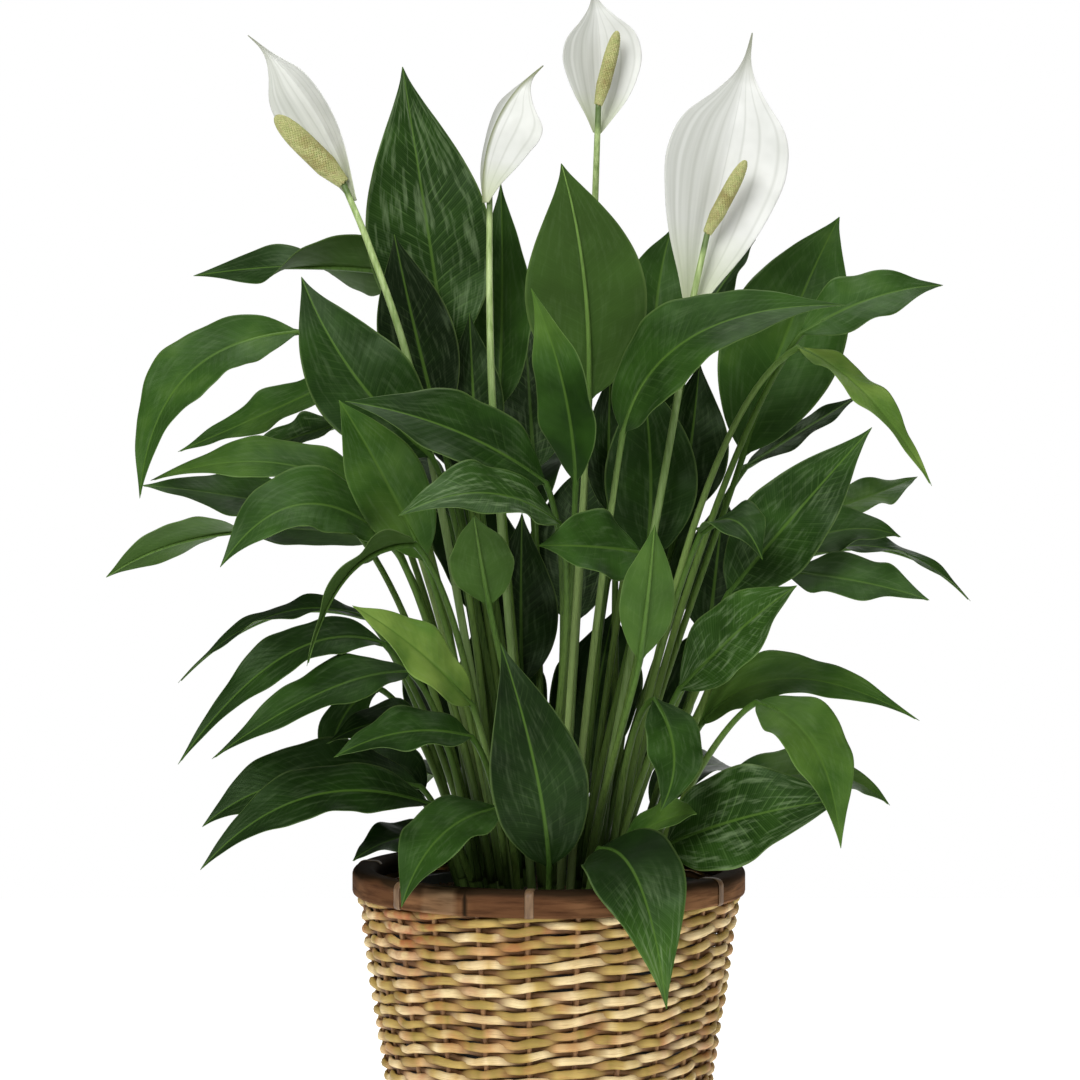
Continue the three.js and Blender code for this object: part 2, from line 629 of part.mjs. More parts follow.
// The spadix is a blunt spike covered in small florets.
function spadixGeometry(bloom) {
  const [base, top] = spadixLine(bloom);
  const along = top.clone().sub(base).normalize();
  const side = across(new THREE.Vector3(1, 0, 0), along);
  const up = along.clone().cross(side);
  const length = base.distanceTo(top);
  const { spadixRings, spadixSides, floretBump } = flower;
  const { spadixFoot, spadixSwell, spadixShoulder, spadixBlunt } = flower;
  const rings = [];
  for (let i = 0; i <= spadixRings; i += 1) {
    const s = i / spadixRings;
    const closing = Math.max(0, (s - spadixShoulder) / (1 - spadixShoulder));
    const foot = Math.min(1, THREE.MathUtils.lerp(spadixFoot, 1, s / spadixSwell));
    const body = bloom.spadix.radius * foot * Math.sqrt(Math.max(0, 1 - closing ** spadixBlunt));
    rings.push(Array.from({ length: spadixSides }, (_, j) => {
      const angle = (2 * Math.PI * (j + 0.5 * (i % 2))) / spadixSides;
      const bump = i % 2 && i < spadixRings ? floretBump : 0;
      const radius = Math.max(0, body + (j % 2 ? bump : -bump));
      return base.clone().addScaledVector(along, gap + s * length)
        .addScaledVector(side, radius * Math.cos(angle)).addScaledVector(up, radius * Math.sin(angle));
    }));
  }
  return loft(rings);
}

// The spathe is a cupped white leaf whose base sits against the back of the stem.
function spatheGeometry(bloom) {
  const { width, cup } = bloom.spathe;
  const face = vector(bloom.spathe.face).normalize();
  const [belly, tip] = [bloom.spathe.belly, bloom.spathe.tip].map(vector);
  const base = stemPath(bloom).getPoints(flower.stemSteps).find((p) => p.z >= bloom.spathe.from);
  const seat = flower.stemRadius + flower.spatheRib + 2 * gap;
  const curve = midrib(base.addScaledVector(face, -seat), belly, tip);
  const places = [[1, 1], [0.55, 0.45], [0, 0], [-0.55, 0.45], [-1, 1]]; // across the blade, and its lift
  const rings = spatheOutline.map(([s, share]) => {
    const along = curve.getTangent(s);
    const up = across(face, along);
    const side = along.clone().cross(up);
    const half = (share * width) / 2;
    const rib = s < 1 ? flower.spatheRib : 0;
    const ring = (thick) => places.map(([t, lift]) => curve.getPoint(s).addScaledVector(side, half * t)
      .addScaledVector(up, cup * half * lift + (Math.abs(t) < 1 ? thick : 0)));
    const upper = ring(rib);
    const lower = ring(-rib);
    return [...upper, ...lower.slice(1, -1).reverse()];
  });
  return loft(rings);
}

// ---- Putting it together ---------------------------------------------------------------------

const lily = new THREE.Group();
const placed = []; // every solid so far, with its box
const holes = []; // stems, grown by the clearance that their holes in the soil have

function add(name, geometry, finish) {
  const mesh = new THREE.Mesh(geometry, new THREE.MeshStandardMaterial(finish));
  mesh.name = name;
  lily.add(mesh);
  const solid = toSolid(geometry);
  placed.push({ solid, ...solid.boundingBox() });
}

const boxesMeet = (a, b) => [0, 1, 2].every((k) => a.min[k] < b.max[k] && b.min[k] < a.max[k]);

function hangsClear(solid) {
  const box = solid.boundingBox();
  const least = 1e-6; // cubic millimetres of overlap
  return !placed.some((other) => boxesMeet(box, other) && solid.intersect(other.solid).volume() > least);
}

const turned = (solid, degrees) => solid.rotate([0, 0, degrees]);

// Leaves of one shoot are one body: the first stands in the soil, and the others leave its
// stalk, which sheathes them, just above the ground.
function shootSolid(shoot, grow) {
  const root = new THREE.Vector3();
  for (const leaf of shoot) root.addScaledVector(rootOf(vector(leaf.knee)), 1 / shoot.length);
  const first = petiolePath(shoot[0], root);
  const sheath = petiole.sheath / (shoot[0].knee[2] - root.z);
  return shoot
    .map((leaf, k) => petiolePath(leaf, k ? first.getPoint(sheath) : root))
    .map((path, k) => toSolid(loft(leafRings(shoot[k], path, grow))))
    .reduce((all, one) => all.add(one));
}

// A shoot is turned about the plant's axis, a little further each time, until it hangs clear.
function addShoot(name, shoot) {
  const solid = shootSolid(shoot, 0);
  const fuller = shootSolid(shoot, gap);
  const steps = Array.from({ length: swing.tries }, (_, n) => Math.ceil(n / 2) * (n % 2 ? 1 : -1));
  const degrees = steps.map((n) => n * swing.step).find((angle) => hangsClear(turned(fuller, angle)));
  if (degrees === undefined) throw new Error(`${name} does not hang clear of its neighbours`);
  add(name, toGeometry(turned(solid, degrees)), finishes.leaf);
  holes.push(turned(fuller, degrees));
}

add('basket', basketGeometry(), finishes.basket);
add('rim', rimGeometry(), finishes.rim);
add('grow_pot', growPotGeometry(), finishes.grow_pot);

for (const bloom of blooms) {
  add(`bloom_${bloom.name}_stem`, stemGeometry(bloom), finishes.stem);
  holes.push(toSolid(stemGeometry(bloom, gap)));
  add(`bloom_${bloom.name}_spadix`, spadixGeometry(bloom), finishes.spadix);
  add(`bloom_${bloom.name}_spathe`, spatheGeometry(bloom), finishes.spathe);
}

const shoots = new Map();
const everyLeaf = [...leaves, ...backLeaves(), ...innerLeaves];
everyLeaf.forEach(([name, knee, belly, tip, width, face, special], order) => {
  const leaf = { knee, belly, tip, width, face, order, fold: blade.fold, wave: blade.wave, ...special };
  const key = leaf.shoot ?? name;
  shoots.set(key, [...(shoots.get(key) ?? []), leaf]);
});
for (const [name, shoot] of shoots) addShoot(`leaf_${name}`, shoot);

let ground = toSolid(soilGeometry());
for (const hole of holes) ground = ground.subtract(hole);
add('soil', toGeometry(ground), finishes.soil);

export default lily;
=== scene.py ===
# Potted peace lily: a full clump of dark leaves and four white blooms, growing in a nursery pot
# that stands inside a woven basket with a wooden rim. The front is -Y and the basket stands at z = 0.
# Lengths in the dictionaries are in millimetres.

import math
from functools import reduce
import bpy
import numpy as np
from mathutils import Matrix, Vector


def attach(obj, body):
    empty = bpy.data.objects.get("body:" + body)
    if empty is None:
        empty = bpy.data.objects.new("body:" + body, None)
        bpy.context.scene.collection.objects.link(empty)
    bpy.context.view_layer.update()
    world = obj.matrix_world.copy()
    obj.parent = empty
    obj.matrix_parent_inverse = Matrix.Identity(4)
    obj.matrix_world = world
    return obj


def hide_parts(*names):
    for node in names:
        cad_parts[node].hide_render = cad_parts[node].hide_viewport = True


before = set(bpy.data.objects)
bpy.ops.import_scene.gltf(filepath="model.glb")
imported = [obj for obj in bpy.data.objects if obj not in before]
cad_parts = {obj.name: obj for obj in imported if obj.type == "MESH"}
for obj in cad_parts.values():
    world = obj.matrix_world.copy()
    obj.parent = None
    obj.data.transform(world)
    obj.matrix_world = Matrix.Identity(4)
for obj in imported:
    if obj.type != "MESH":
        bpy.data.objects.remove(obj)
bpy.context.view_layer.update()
mm = 0.001
tau = 2 * math.pi
nearAxis = 0.01  # a turned profile stops this far from the axis, and a flat face closes it
noiseLevels = (0.3, 0.7)  # nearly all of a noise lies between these


# Colours are given as they look on a screen, from 0 to 255.
def paint(red, green, blue):
    def linear(level):
        share = level / 255
        return share / 12.92 if share <= 0.04045 else ((share + 0.055) / 1.055) ** 2.4
    return (linear(red), linear(green), linear(blue), 1)


# One number or one other node's output goes into a socket.
def feed(socket, value):
    if isinstance(value, bpy.types.NodeSocket):
        socket.id_data.links.new(value, socket)
    else:
        socket.default_value = value


def addNode(tree, kind, values=None, **settings):
    made = tree.nodes.new(kind)
    for key, value in settings.items():
        setattr(made, key, value)
    for key, value in (values or {}).items():
        feed(made.inputs[key], value)
    return made


def output(tree, kind, values=None, **settings):
    return addNode(tree, kind, values, **settings).outputs[0]


# The tree in which these values meet, known from any of them that comes out of a node.
def treeOf(*values):
    return next(value.id_data for value in values if isinstance(value, bpy.types.NodeSocket))


def maths(operation, *values):
    return output(treeOf(*values), "ShaderNodeMath", dict(enumerate(values)), operation=operation)


def inTurn(operation, values):
    return reduce(lambda first, second: maths(operation, first, second), values)


def add(*values):
    return inTurn("ADD", values)


def times(*values):
    return inTurn("MULTIPLY", values)


def largest(*values):
    return inTurn("MAXIMUM", values)


def minus(first, second):
    return maths("SUBTRACT", first, second)


def over(first, second):
    return maths("DIVIDE", first, second)


def sine(angle):
    return maths("SINE", angle)


def cosine(angle):
    return maths("COSINE", angle)


def absolute(value):
    return maths("ABSOLUTE", value)


def combine(x, y, z):
    return output(treeOf(x, y, z), "ShaderNodeCombineXYZ", {"X": x, "Y": y, "Z": z})


def separate(vector):
    return addNode(vector.id_data, "ShaderNodeSeparateXYZ", {"Vector": vector}).outputs


def noise(vector, scale, detail=2, roughness=0.5):
    return output(vector.id_data, "ShaderNodeTexNoise",
                  {"Vector": vector, "Scale": scale, "Detail": detail, "Roughness": roughness})


def remap(value, low, high, newLow=0, newHigh=1):
    return output(value.id_data, "ShaderNodeMapRange",
                  {"Value": value, "From Min": low, "From Max": high, "To Min": newLow, "To Max": newHigh})


def blendColours(share, first, second):
    return addNode(share.id_data, "ShaderNodeMix", {0: share, 6: first, 7: second},
                   data_type="RGBA").outputs[2]


def ramp(share, stops):
    made = addNode(share.id_data, "ShaderNodeValToRGB", {"Fac": share})
    while len(made.color_ramp.elements) < len(stops):
        made.color_ramp.elements.new(1)
    for element, (place, colour) in zip(made.color_ramp.elements, stops):
        element.position = place
        element.color = colour
    return made.outputs[0]


def attribute(tree, name):
    return addNode(tree, "ShaderNodeAttribute", attribute_name=name).outputs["Fac"]


def objectPlace(tree):
    return addNode(tree, "ShaderNodeTexCoord").outputs["Object"]


# A pattern read from here is drawn out along the axes whose scale is small.
def stretched(tree, scale):
    return output(tree, "ShaderNodeMapping", {"Vector": objectPlace(tree), "Scale": scale})


def newMaterial(name, roughness=0.5, specular=0.5, tint=(1, 1, 1, 1)):
    material = bpy.data.materials.new(name)
    material.use_nodes = True
    shader = material.node_tree.nodes["Principled BSDF"]
    shader.inputs["Roughness"].default_value = roughness
    shader.inputs["Specular IOR Level"].default_value = specular
    shader.inputs["Specular Tint"].default_value = tint
    return material, material.node_tree, shader


# The colour and the fine relief that finish a material.
def finishPaint(shader, colour, height=None, strength=0.5, depth=0.5):
    feed(shader.inputs["Base Color"], colour)
    if height is not None:
        feed(shader.inputs["Normal"], output(shader.id_data, "ShaderNodeBump", {
            "Strength": strength, "Distance": depth * mm, "Height": height}))


def addObject(name, data):
    made = bpy.data.objects.new(name, data)
    bpy.context.scene.collection.objects.link(made)
    return made


# A finished piece: it rides on the plant's one body and stands for the plain solids it is drawn over.
def finishPiece(piece, nodes):
    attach(piece, "root")
    if nodes:
        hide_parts(*nodes)
    return piece


# Points are in millimetres. Values are one number for each point, kept under a name.
def meshPiece(name, points, faces, materials, nodes=(), values=None, finishes=None):
    mesh = bpy.data.meshes.new(name)
    mesh.from_pydata((np.asarray(points) * mm).tolist(), [], faces)
    for material in materials:
        mesh.materials.append(material)
    if finishes is not None:
        mesh.polygons.foreach_set("material_index", finishes)
    mesh.polygons.foreach_set("use_smooth", [True] * len(mesh.polygons))
    for label, numbers in (values or {}).items():
        layer = mesh.attributes.new(label, "FLOAT", "POINT")
        layer.data.foreach_set("value", np.asarray(numbers, np.float32))
    mesh.update()
    return finishPiece(addObject(name, mesh), nodes)


# A node tree with an input for each of a piece's sizes that begins with a capital.
def newTree(name, sizes):
    tree = bpy.data.node_groups.new(name, "GeometryNodeTree")
    tree.interface.new_socket("Geometry", in_out="INPUT", socket_type="NodeSocketGeometry")
    for label in filter(lambda label: label[0].isupper(), sizes):
        kind = "NodeSocketInt" if isinstance(sizes[label], int) else "NodeSocketFloat"
        tree.interface.new_socket(label, in_out="INPUT", socket_type=kind)
    tree.interface.new_socket("Geometry", in_out="OUTPUT", socket_type="NodeSocketGeometry")
    return tree, addNode(tree, "NodeGroupInput").outputs


def endTree(geometry, material, smooth=True):
    tree = geometry.id_data
    real = output(tree, "GeometryNodeRealizeInstances", {"Geometry": geometry})
    shaded = output(tree, "GeometryNodeSetShadeSmooth", {"Geometry": real, "Shade Smooth": smooth})
    painted = output(tree, "GeometryNodeSetMaterial", {"Geometry": shaded, "Material": material})
    addNode(tree, "NodeGroupOutput", {0: painted})
    return tree


def indexOf(tree):
    return output(tree, "GeometryNodeInputIndex")


def circle(tree, sides, radius):
    return output(tree, "GeometryNodeCurvePrimitiveCircle", {"Resolution": sides, "Radius": radius})


# Points that all lie at the origin, to be moved or copied onto.
def heap(tree, count):
    return output(tree, "GeometryNodeMeshLine", {"Count": count, "Offset": (0, 0, 0)})


# The section of a flat strand. It takes its width and thickness from a circle 1 mm across.
def flatProfile(tree, first, second):
    return output(tree, "GeometryNodeTransform",
                  {"Geometry": circle(tree, 8, mm / 2), "Scale": combine(first, second, 1)})


def sweep(curve, profile, **values):
    return output(curve.id_data, "GeometryNodeCurveToMesh",
                  {"Curve": curve, "Profile Curve": profile, **values})


def copyOnto(points, copied, **values):
    return output(points.id_data, "GeometryNodeInstanceOnPoints",
                  {"Points": points, "Instance": copied, **values})


def store(geometry, label, value, domain="POINT"):
    return output(geometry.id_data, "GeometryNodeStoreNamedAttribute",
                  {"Geometry": geometry, "Name": label, "Value": value}, domain=domain)


def randomNumber(seed, low=0.0, high=1.0, **values):
    return addNode(seed.id_data, "FunctionNodeRandomValue",
                   {2: low, 3: high, "Seed": seed, **values}).outputs[1]


# Runs a node tree on a mesh with these sizes, and keeps the result as a plain mesh.
def growMesh(name, tree, sizes, source=None):
    holder = addObject(name, source or bpy.data.meshes.new(name))
    modifier = holder.modifiers.new(name, "NODES")
    modifier.node_group = tree
    for socket in tree.interface.items_tree:
        if socket.in_out == "INPUT" and socket.name in sizes:
            modifier[socket.identifier] = sizes[socket.name]
    bpy.context.view_layer.update()
    ready = holder.evaluated_get(bpy.context.evaluated_depsgraph_get())
    mesh = bpy.data.meshes.new_from_object(ready)
    holder.modifiers.remove(modifier)
    bpy.data.objects.remove(holder)
    mesh.name = name
    return addObject(name, mesh)


# Rings of points, all with the same number, joined side by side into a closed skin. A loop of
# rings closes on itself, and a row of them gets a flat face at each end.
def loft(rings, loop=False):
    count = len(rings[0])
    faces = []
    for i in range(len(rings) if loop else len(rings) - 1):
        near = i * count
        far = ((i + 1) % len(rings)) * count
        for j in range(count):
            after = (j + 1) % count
            faces.append((near + j, near + after, far + after, far + j))
    if not loop:
        last = (len(rings) - 1) * count
        faces.append(tuple(range(count - 1, -1, -1)))
        faces.append(tuple(range(last, last + count)))
    return np.concatenate(rings), faces


def unit(rows):
    return rows / np.linalg.norm(rows, axis=-1, keepdims=True)


def evenTurns(count):
    return np.arange(count) * tau / count


# A round body, turned from a profile of radii and heights about the pot's axis.
def turnBody(profile, count):
    turns = evenTurns(count)
    return loft([np.column_stack((radius * np.cos(turns), radius * np.sin(turns), height + 0 * turns))
                 for radius, height in profile])


# Points on a round corner of a profile.
def corner(radius, height, curve, turns):
    return [(radius + curve * math.cos(turn), height + curve * math.sin(turn)) for turn in turns]


# Round rings along a line of points. The first ring's side is carried along without twisting.
def tubeRings(line, radii, sides):
    along = unit(np.gradient(line, axis=0))
    side = unit(np.cross(along[0], (0.31, 0.87, 0.38)))  # any direction that no line starts along
    turns = evenTurns(sides)
    rings = []
    for center, direction, radius in zip(line, along, radii):
        side = unit(side - direction * side.dot(direction))
        up = np.cross(direction, side)
        rings.append(center + radius * (np.outer(np.cos(turns), side) + np.outer(np.sin(turns), up)))
    return rings


basketShape = {
    "baseRadius": 83,
    "wall": 6.5,
    "flare": 0.17,  # how much wider the basket grows for each millimetre of height
    "belly": 0.0001,  # how much of that flare is lost for each millimetre of height
}


# The radius of the middle of the basket's wall at a height, in nodes.
def wallRadius(height):
    flare = minus(basketShape["flare"], times(height, basketShape["belly"]))
    return add(basketShape["baseRadius"] - basketShape["wall"] / 2, times(height, flare))


weave = {
    "Rows": 24,
    "Stakes": 24,
    "Steps": 9,  # points along a strand for each stake
    "Bottom": 3.8,
    "Pitch": 7.75,  # height of one row, which is a pair of strands, one above the other
    "Swell": 2.3,  # how far a strand stands out where it passes a stake
    "Cross": 0.7,  # how far a strand climbs along the stretch that lies outside
    "Thickness": 3.2,
    "Width": 4.8,
    "Thinnest": 0.84,  # a strand's size at its thinnest and its fullest
    "Fullest": 1.2,
    "Slack": 2.2,  # how unevenly a strand passes from outside to inside, in radians
    "Slack Pace": 3.3,  # the paces say how quickly an unevenness changes round the basket
    "Wander": 9.6,  # how far the rows stray up and down together
    "Wander Pace": 2.2,
    "Own": 3.0,  # how far a strand strays from its row by itself
    "Own Pace": 7.5,
    "Own Bulge": 1.2,  # and how far it strays outwards
    "Facing": -0.112,  # turns the stakes so that one stands a little left of the front
    "Seed": 7,
}


# Each strand is one closed ring round the basket, and goes in front of one stake and behind the
# next. The strand above it does the opposite.
def weaveTree(material):
    tree, sizes = newTree("weaveStrands", weave)
    points = times(sizes["Stakes"], sizes["Steps"])
    copies = copyOnto(heap(tree, times(sizes["Rows"], 2)), circle(tree, points, 1.0))
    rings = output(tree, "GeometryNodeRealizeInstances", {"Geometry": copies})

    index = indexOf(tree)
    strand = maths("FLOOR", over(index, points))
    step = minus(index, times(strand, points))
    row = maths("FLOOR", over(strand, 2))
    ply = minus(strand, times(row, 2))
    turn = times(over(step, points), tau)
    angle = add(turn, sizes["Facing"])
    twist = times(turn, over(sizes["Stakes"], 2))

    # an unevenness round the basket, from about -0.5 to 0.5, that differs from level to level
    def uneven(pace, level):
        return minus(noise(combine(times(cosine(angle), pace), times(sine(angle), pace), level), 1.0), 0.5)

    wander = times(uneven(sizes["Wander Pace"], add(times(row, 0.22), sizes["Seed"])), sizes["Wander"])
    own = uneven(sizes["Own Pace"], times(strand, 3.7))
    slack = times(uneven(sizes["Slack Pace"], times(row, 5.1)), sizes["Slack"])
    phase = add(twist, slack, times(ply, math.pi))
    outside = cosine(phase)
    middle = times(add(over(strand, 2), 0.25), sizes["Pitch"])
    height = add(middle, sizes["Bottom"], times(sine(phase), sizes["Cross"]),
                 add(wander, times(own, sizes["Own"])))
    wall = wallRadius(height)
    radius = add(wall, times(outside, sizes["Swell"]), times(own, sizes["Own Bulge"]))
    place = combine(times(radius, cosine(angle), mm), times(radius, sine(angle), mm), times(height, mm))
    woven = output(tree, "GeometryNodeSetPosition", {"Geometry": rings, "Position": place})
    upright = output(tree, "GeometryNodeSetCurveNormal", {"Curve": woven}, mode="Z_UP")

    toned = store(upright, "tone", randomNumber(sizes["Seed"], ID=strand))
    measured = store(store(toned, "along", times(turn, wall)), "outside", outside)
    profile = store(flatProfile(tree, sizes["Thickness"], sizes["Width"]), "around", indexOf(tree))
    fullness = remap(own, -0.25, 0.25, sizes["Thinnest"], sizes["Fullest"])
    return endTree(sweep(measured, profile, Scale=fullness), material)


stakes = {
    "Stakes": weave["Stakes"],
    "Facing": weave["Facing"],
    "Foot": 3.5,
    "Head": 186.0,
    "Thickness": 1.7,
    "Sides": 7,
    "Points": 24,  # from the foot to the head of a stake
}


# Upright rods that the strands are woven round.
def stakeTree(material):
    tree, sizes = newTree("uprightStakes", stakes)

    def wallPoint(height):
        return combine(times(wallRadius(height), mm), 0, times(height, mm))

    rod = output(tree, "GeometryNodeCurvePrimitiveLine",
                 {"Start": wallPoint(sizes["Foot"]), "End": wallPoint(sizes["Head"])})
    pieces = output(tree, "GeometryNodeResampleCurve", {"Curve": rod, "Count": sizes["Points"]})
    profile = circle(tree, sizes["Sides"], times(sizes["Thickness"], mm))
    solid = sweep(pieces, profile, **{"Fill Caps": True})
    angle = add(times(over(indexOf(tree), sizes["Stakes"]), tau), sizes["Facing"])
    copies = copyOnto(heap(tree, sizes["Stakes"]), solid, Rotation=combine(0, 0, angle))
    return endTree(copies, material)


board = {
    "radius": 77,
    "bottom": 1.2,
    "top": 8.2,
    "round": 2.2,
    "turns": 72,
}


# The board that the nursery pot stands on, inside the foot of the weave.
def makeBoard(material):
    outer, low, high, curve = (board[size] for size in ("radius", "bottom", "top", "round"))
    edge = outer - curve
    turns = np.array((0.5, 1.05))
    profile = [(nearAxis, low), (edge, low), *corner(edge, low + curve, curve, turns - math.pi / 2),
               (outer, low + curve), (outer, high - curve),
               *corner(edge, high - curve, curve, turns), (edge, high), (nearAxis, high)]
    points, faces = turnBody(profile, board["turns"])
    return meshPiece("basketBase", points, faces, [material])


rim = {
    "outer": 114.2,
    "inner": 100.4,
    "top": 199.6,
    "outerFoot": 184.7,
    "innerFoot": 190.2,
    "outerSlot": 110.8,
    "innerSlot": 102.0,
    "slotTop": 196.7,
    "round": 4.2,
    "turns": 180,
    "sways": [(3, 0.7, 0.18), (11, 0, 0.12)],  # waves round the rim, where each starts, and its depth
}


# The rim's section, from the slot's outer edge round over the top and back into the slot.
def rimSection(grow=0):
    outer, inner, top = rim["outer"] + grow, rim["inner"] - grow, rim["top"] + grow * 0.2
    foot, curve = rim["outerFoot"], rim["round"]
    section = [(rim["outerSlot"], foot), (outer - 1.1, foot), (outer - 0.3, foot + 0.5), (outer, foot + 1.6)]
    section += [(outer, height) for height in np.linspace(foot + 4, top - curve, 4)]
    for radius, start in ((outer - curve, 0), (inner + curve, 90)):
        section += corner(radius, top - curve, curve, np.radians(start + np.linspace(12, 90, 6)))
    section += [(inner, rim["innerFoot"]), (rim["innerSlot"], rim["innerFoot"]),
                (rim["innerSlot"], rim["slotTop"]), (rim["outerSlot"], rim["slotTop"])]
    return np.array(section)


def makeRim(material):
    section = rimSection()
    rings = []
    for turn in evenTurns(rim["turns"]):
        sway = sum(depth * math.sin(waves * turn + start) for waves, start, depth in rim["sways"])
        radius = section[:, 0] + sway * (section[:, 0] > rim["outerSlot"])
        rings.append(np.column_stack((radius * math.cos(turn), radius * math.sin(turn), section[:, 1])))
    points, faces = loft(rings, loop=True)
    faces = [face[::-1] for face in faces]
    return meshPiece("rimBand", points, faces, [material], ["rim"])


bindings = {
    "Width": 5.2,
    "Thickness": 0.75,
    "gap": 0.35,  # from the wood to the middle of the cane
    "points": 18,  # of the rim's section, that a binding follows from the front round over the top
    "places": (222, 264.5, 328, 18, 75, 122, 168),  # degrees round from +X
}


# A flat strip of cane wrapped round the rim's section, copied to each place.
def bindingTree(material):
    tree, sizes = newTree("caneBindings", bindings)
    loop = output(tree, "GeometryNodeMeshToCurve", {"Mesh": sizes["Geometry"]})
    upright = output(tree, "GeometryNodeSetCurveNormal", {"Curve": loop}, mode="MINIMUM_TWIST")
    strip = sweep(upright, flatProfile(tree, sizes["Width"], sizes["Thickness"]))
    index = indexOf(tree)
    angle = add(*(times(maths("COMPARE", index, order, 0.1), math.radians(place))
                  for order, place in enumerate(bindings["places"])))
    copies = copyOnto(heap(tree, len(bindings["places"])), strip, Rotation=combine(0, 0, angle))
    return endTree(copies, material)


def makeBindings(material):
    section = rimSection(bindings["gap"])[:bindings["points"]]
    spots = [(radius * mm, 0, height * mm) for radius, height in section]
    path = bpy.data.meshes.new("bindingPath")
    path.from_pydata(spots, [(i, i + 1) for i in range(len(spots) - 1)], [])
    piece = growMesh("caneBindings", bindingTree(material), bindings, path)
    return finishPiece(piece, [])


pot = {
    "foot": 71,
    "shoulder": 93.4,
    "lip": 98.4,
    "mouth": 93.3,
    "bottom": 8.3,
    "top": 186.2,
    "lipHeight": 10,
    "wall": 1.6,
    "turns": 96,
}


def makePot(material):
    foot, shoulder, lip, mouth = (pot[size] for size in ("foot", "shoulder", "lip", "mouth"))
    bottom, top = pot["bottom"], pot["top"]
    under = top - pot["lipHeight"]
    profile = [(nearAxis, bottom), (foot - 2, bottom), (foot, bottom + 2),
               (shoulder + 0.4, under - 1), (shoulder + 0.6, under),
               (lip - 0.4, under), (lip, under + 0.5), (lip, top - 1), (lip - 0.9, top),
               (mouth + 0.8, top), (mouth, top - 0.9),
               (foot - pot["wall"], bottom + 3), (nearAxis, bottom + 3)]
    points, faces = turnBody(profile, pot["turns"])
    return meshPiece("nurseryPot", points, faces, [material], ["grow_pot"])


ground = {
    "radius": 92.4,
    "top": 180,
    "bottom": 12,
    "footShare": 0.76,  # of the radius, at the bottom of the pot
    "crown": 3,
    "bumps": 1.5,
    "rings": 46,
    "turns": 120,
}


def makeGround(material):
    turns = evenTurns(ground["turns"])
    foot = ground["footShare"] * ground["radius"]
    rings = [np.column_stack((foot * np.cos(turns), foot * np.sin(turns), ground["bottom"] + 0 * turns))]
    for share in np.linspace(1, 0.004, ground["rings"]):
        x, y = share * np.cos(turns), share * np.sin(turns)
        lumps = (np.sin(7 * x + 2) * np.cos(8 * y) + 0.6 * np.sin(19 * x + 11 * y)
                 + 0.45 * np.sin(31 * y - 23 * x + 1))
        height = (ground["top"] + ground["crown"] * (1 - share ** 2)
                  + ground["bumps"] * lumps * min(1, 5 * (1 - share)))
        rings.append(np.column_stack((ground["radius"] * x, ground["radius"] * y, height)))
    points, faces = loft(rings)
    return meshPiece("pottingSoil", points, faces, [material], ["soil"])


crumbs = {
    "Amount": 90000.0,  # for each square metre
    "Smallest": 0.5,
    "Largest": 1.9,
    "Lowest": 178.0,
    "Seed": 3,
    "shape": (1, 0.62, 0.5),
}


# Bits of bark and peat strewn over the top of the soil.
def crumbTree(material):
    tree, sizes = newTree("soilCrumbs", crumbs)
    height = separate(output(tree, "GeometryNodeInputPosition"))[2]
    onTop = maths("GREATER_THAN", height, times(sizes["Lowest"], mm))
    spots = output(tree, "GeometryNodeDistributePointsOnFaces",
                   {"Mesh": sizes["Geometry"], "Selection": onTop, "Density": sizes["Amount"],
                    "Seed": sizes["Seed"]})
    size = randomNumber(sizes["Seed"], times(sizes["Smallest"], mm), times(sizes["Largest"], mm))
    spin = output(tree, "FunctionNodeRandomValue", {1: (tau, tau, tau), "Seed": sizes["Seed"]},
                  data_type="FLOAT_VECTOR")
    grain = output(tree, "GeometryNodeMeshIcoSphere", {"Radius": 1.0, "Subdivisions": 1})
    crumb = output(tree, "GeometryNodeTransform", {"Geometry": grain, "Scale": crumbs["shape"]})
    copies = copyOnto(spots, crumb, Rotation=spin, Scale=size)
    toned = store(copies, "tone", randomNumber(add(sizes["Seed"], 5)), "INSTANCE")
    return endTree(toned, material, smooth=False)


# Half-width of a blade, as a share of its widest, at each place from knee to tip.
leafOutline = [(0, 0), (0.06, 0.36), (0.15, 0.68), (0.27, 0.92), (0.4, 1), (0.53, 0.93),
               (0.66, 0.73), (0.78, 0.47), (0.88, 0.23), (0.95, 0.08), (1, 0.004)]

blade = {
    "columns": (0.035, 0.1, 0.2, 0.33, 0.48, 0.64, 0.8, 0.93, 1),  # from midrib to edge
    "fold": 0.16,
    "foldCurve": 1.25,  # a higher curve keeps a shape closer to the edge
    "wave": 2.4,
    "waveCurve": 1.7,
    "waves": 2.6,
    "leafPhase": 1.9,  # how far the waves shift from leaf to leaf, and from edge to edge
    "edgePhase": 2.2,
    "kneeReach": 0.04,  # up to here a blade is at least as wide as its stalk
    "thickness": 0.6,
    "thinEdge": 0.45,
    "thinTip": 0.4,
    "veinGap": 5.4,  # from one side vein to the next, along the midrib
    "veinLean": 0.17,  # how far a side vein has run towards the tip at the edge, as a share of the length
    "leanCurve": 0.85,
    "rowsPerVein": 3,
    "quilting": 0.24,  # how far the blade swells between two side veins
    "quiltCurve": 0.75,
    "quiltLevel": 0.6,
    "quiltInner": (0.02, 0.2),  # it sets in beside the midrib, and ends before the edge
    "quiltOuter": (1, 0.75),
    "groove": 0.55,
    "grooveWidth": 1.2,
    "grooveStart": 0.08,
    "grooveFade": 0.8,
    "ripple": 0.35,
    "rippleGap": 19,
    "rippleCurve": 5,
    "ripplePhase": (2.6, 1.3),  # from leaf to leaf, and from the midrib to either side
    "toneRise": (0.3, 0.85),  # the tone goes over to the tip's between these shares of the length
    "lateVeins": 3,  # veins show late on a leaf whose tone rises much
}

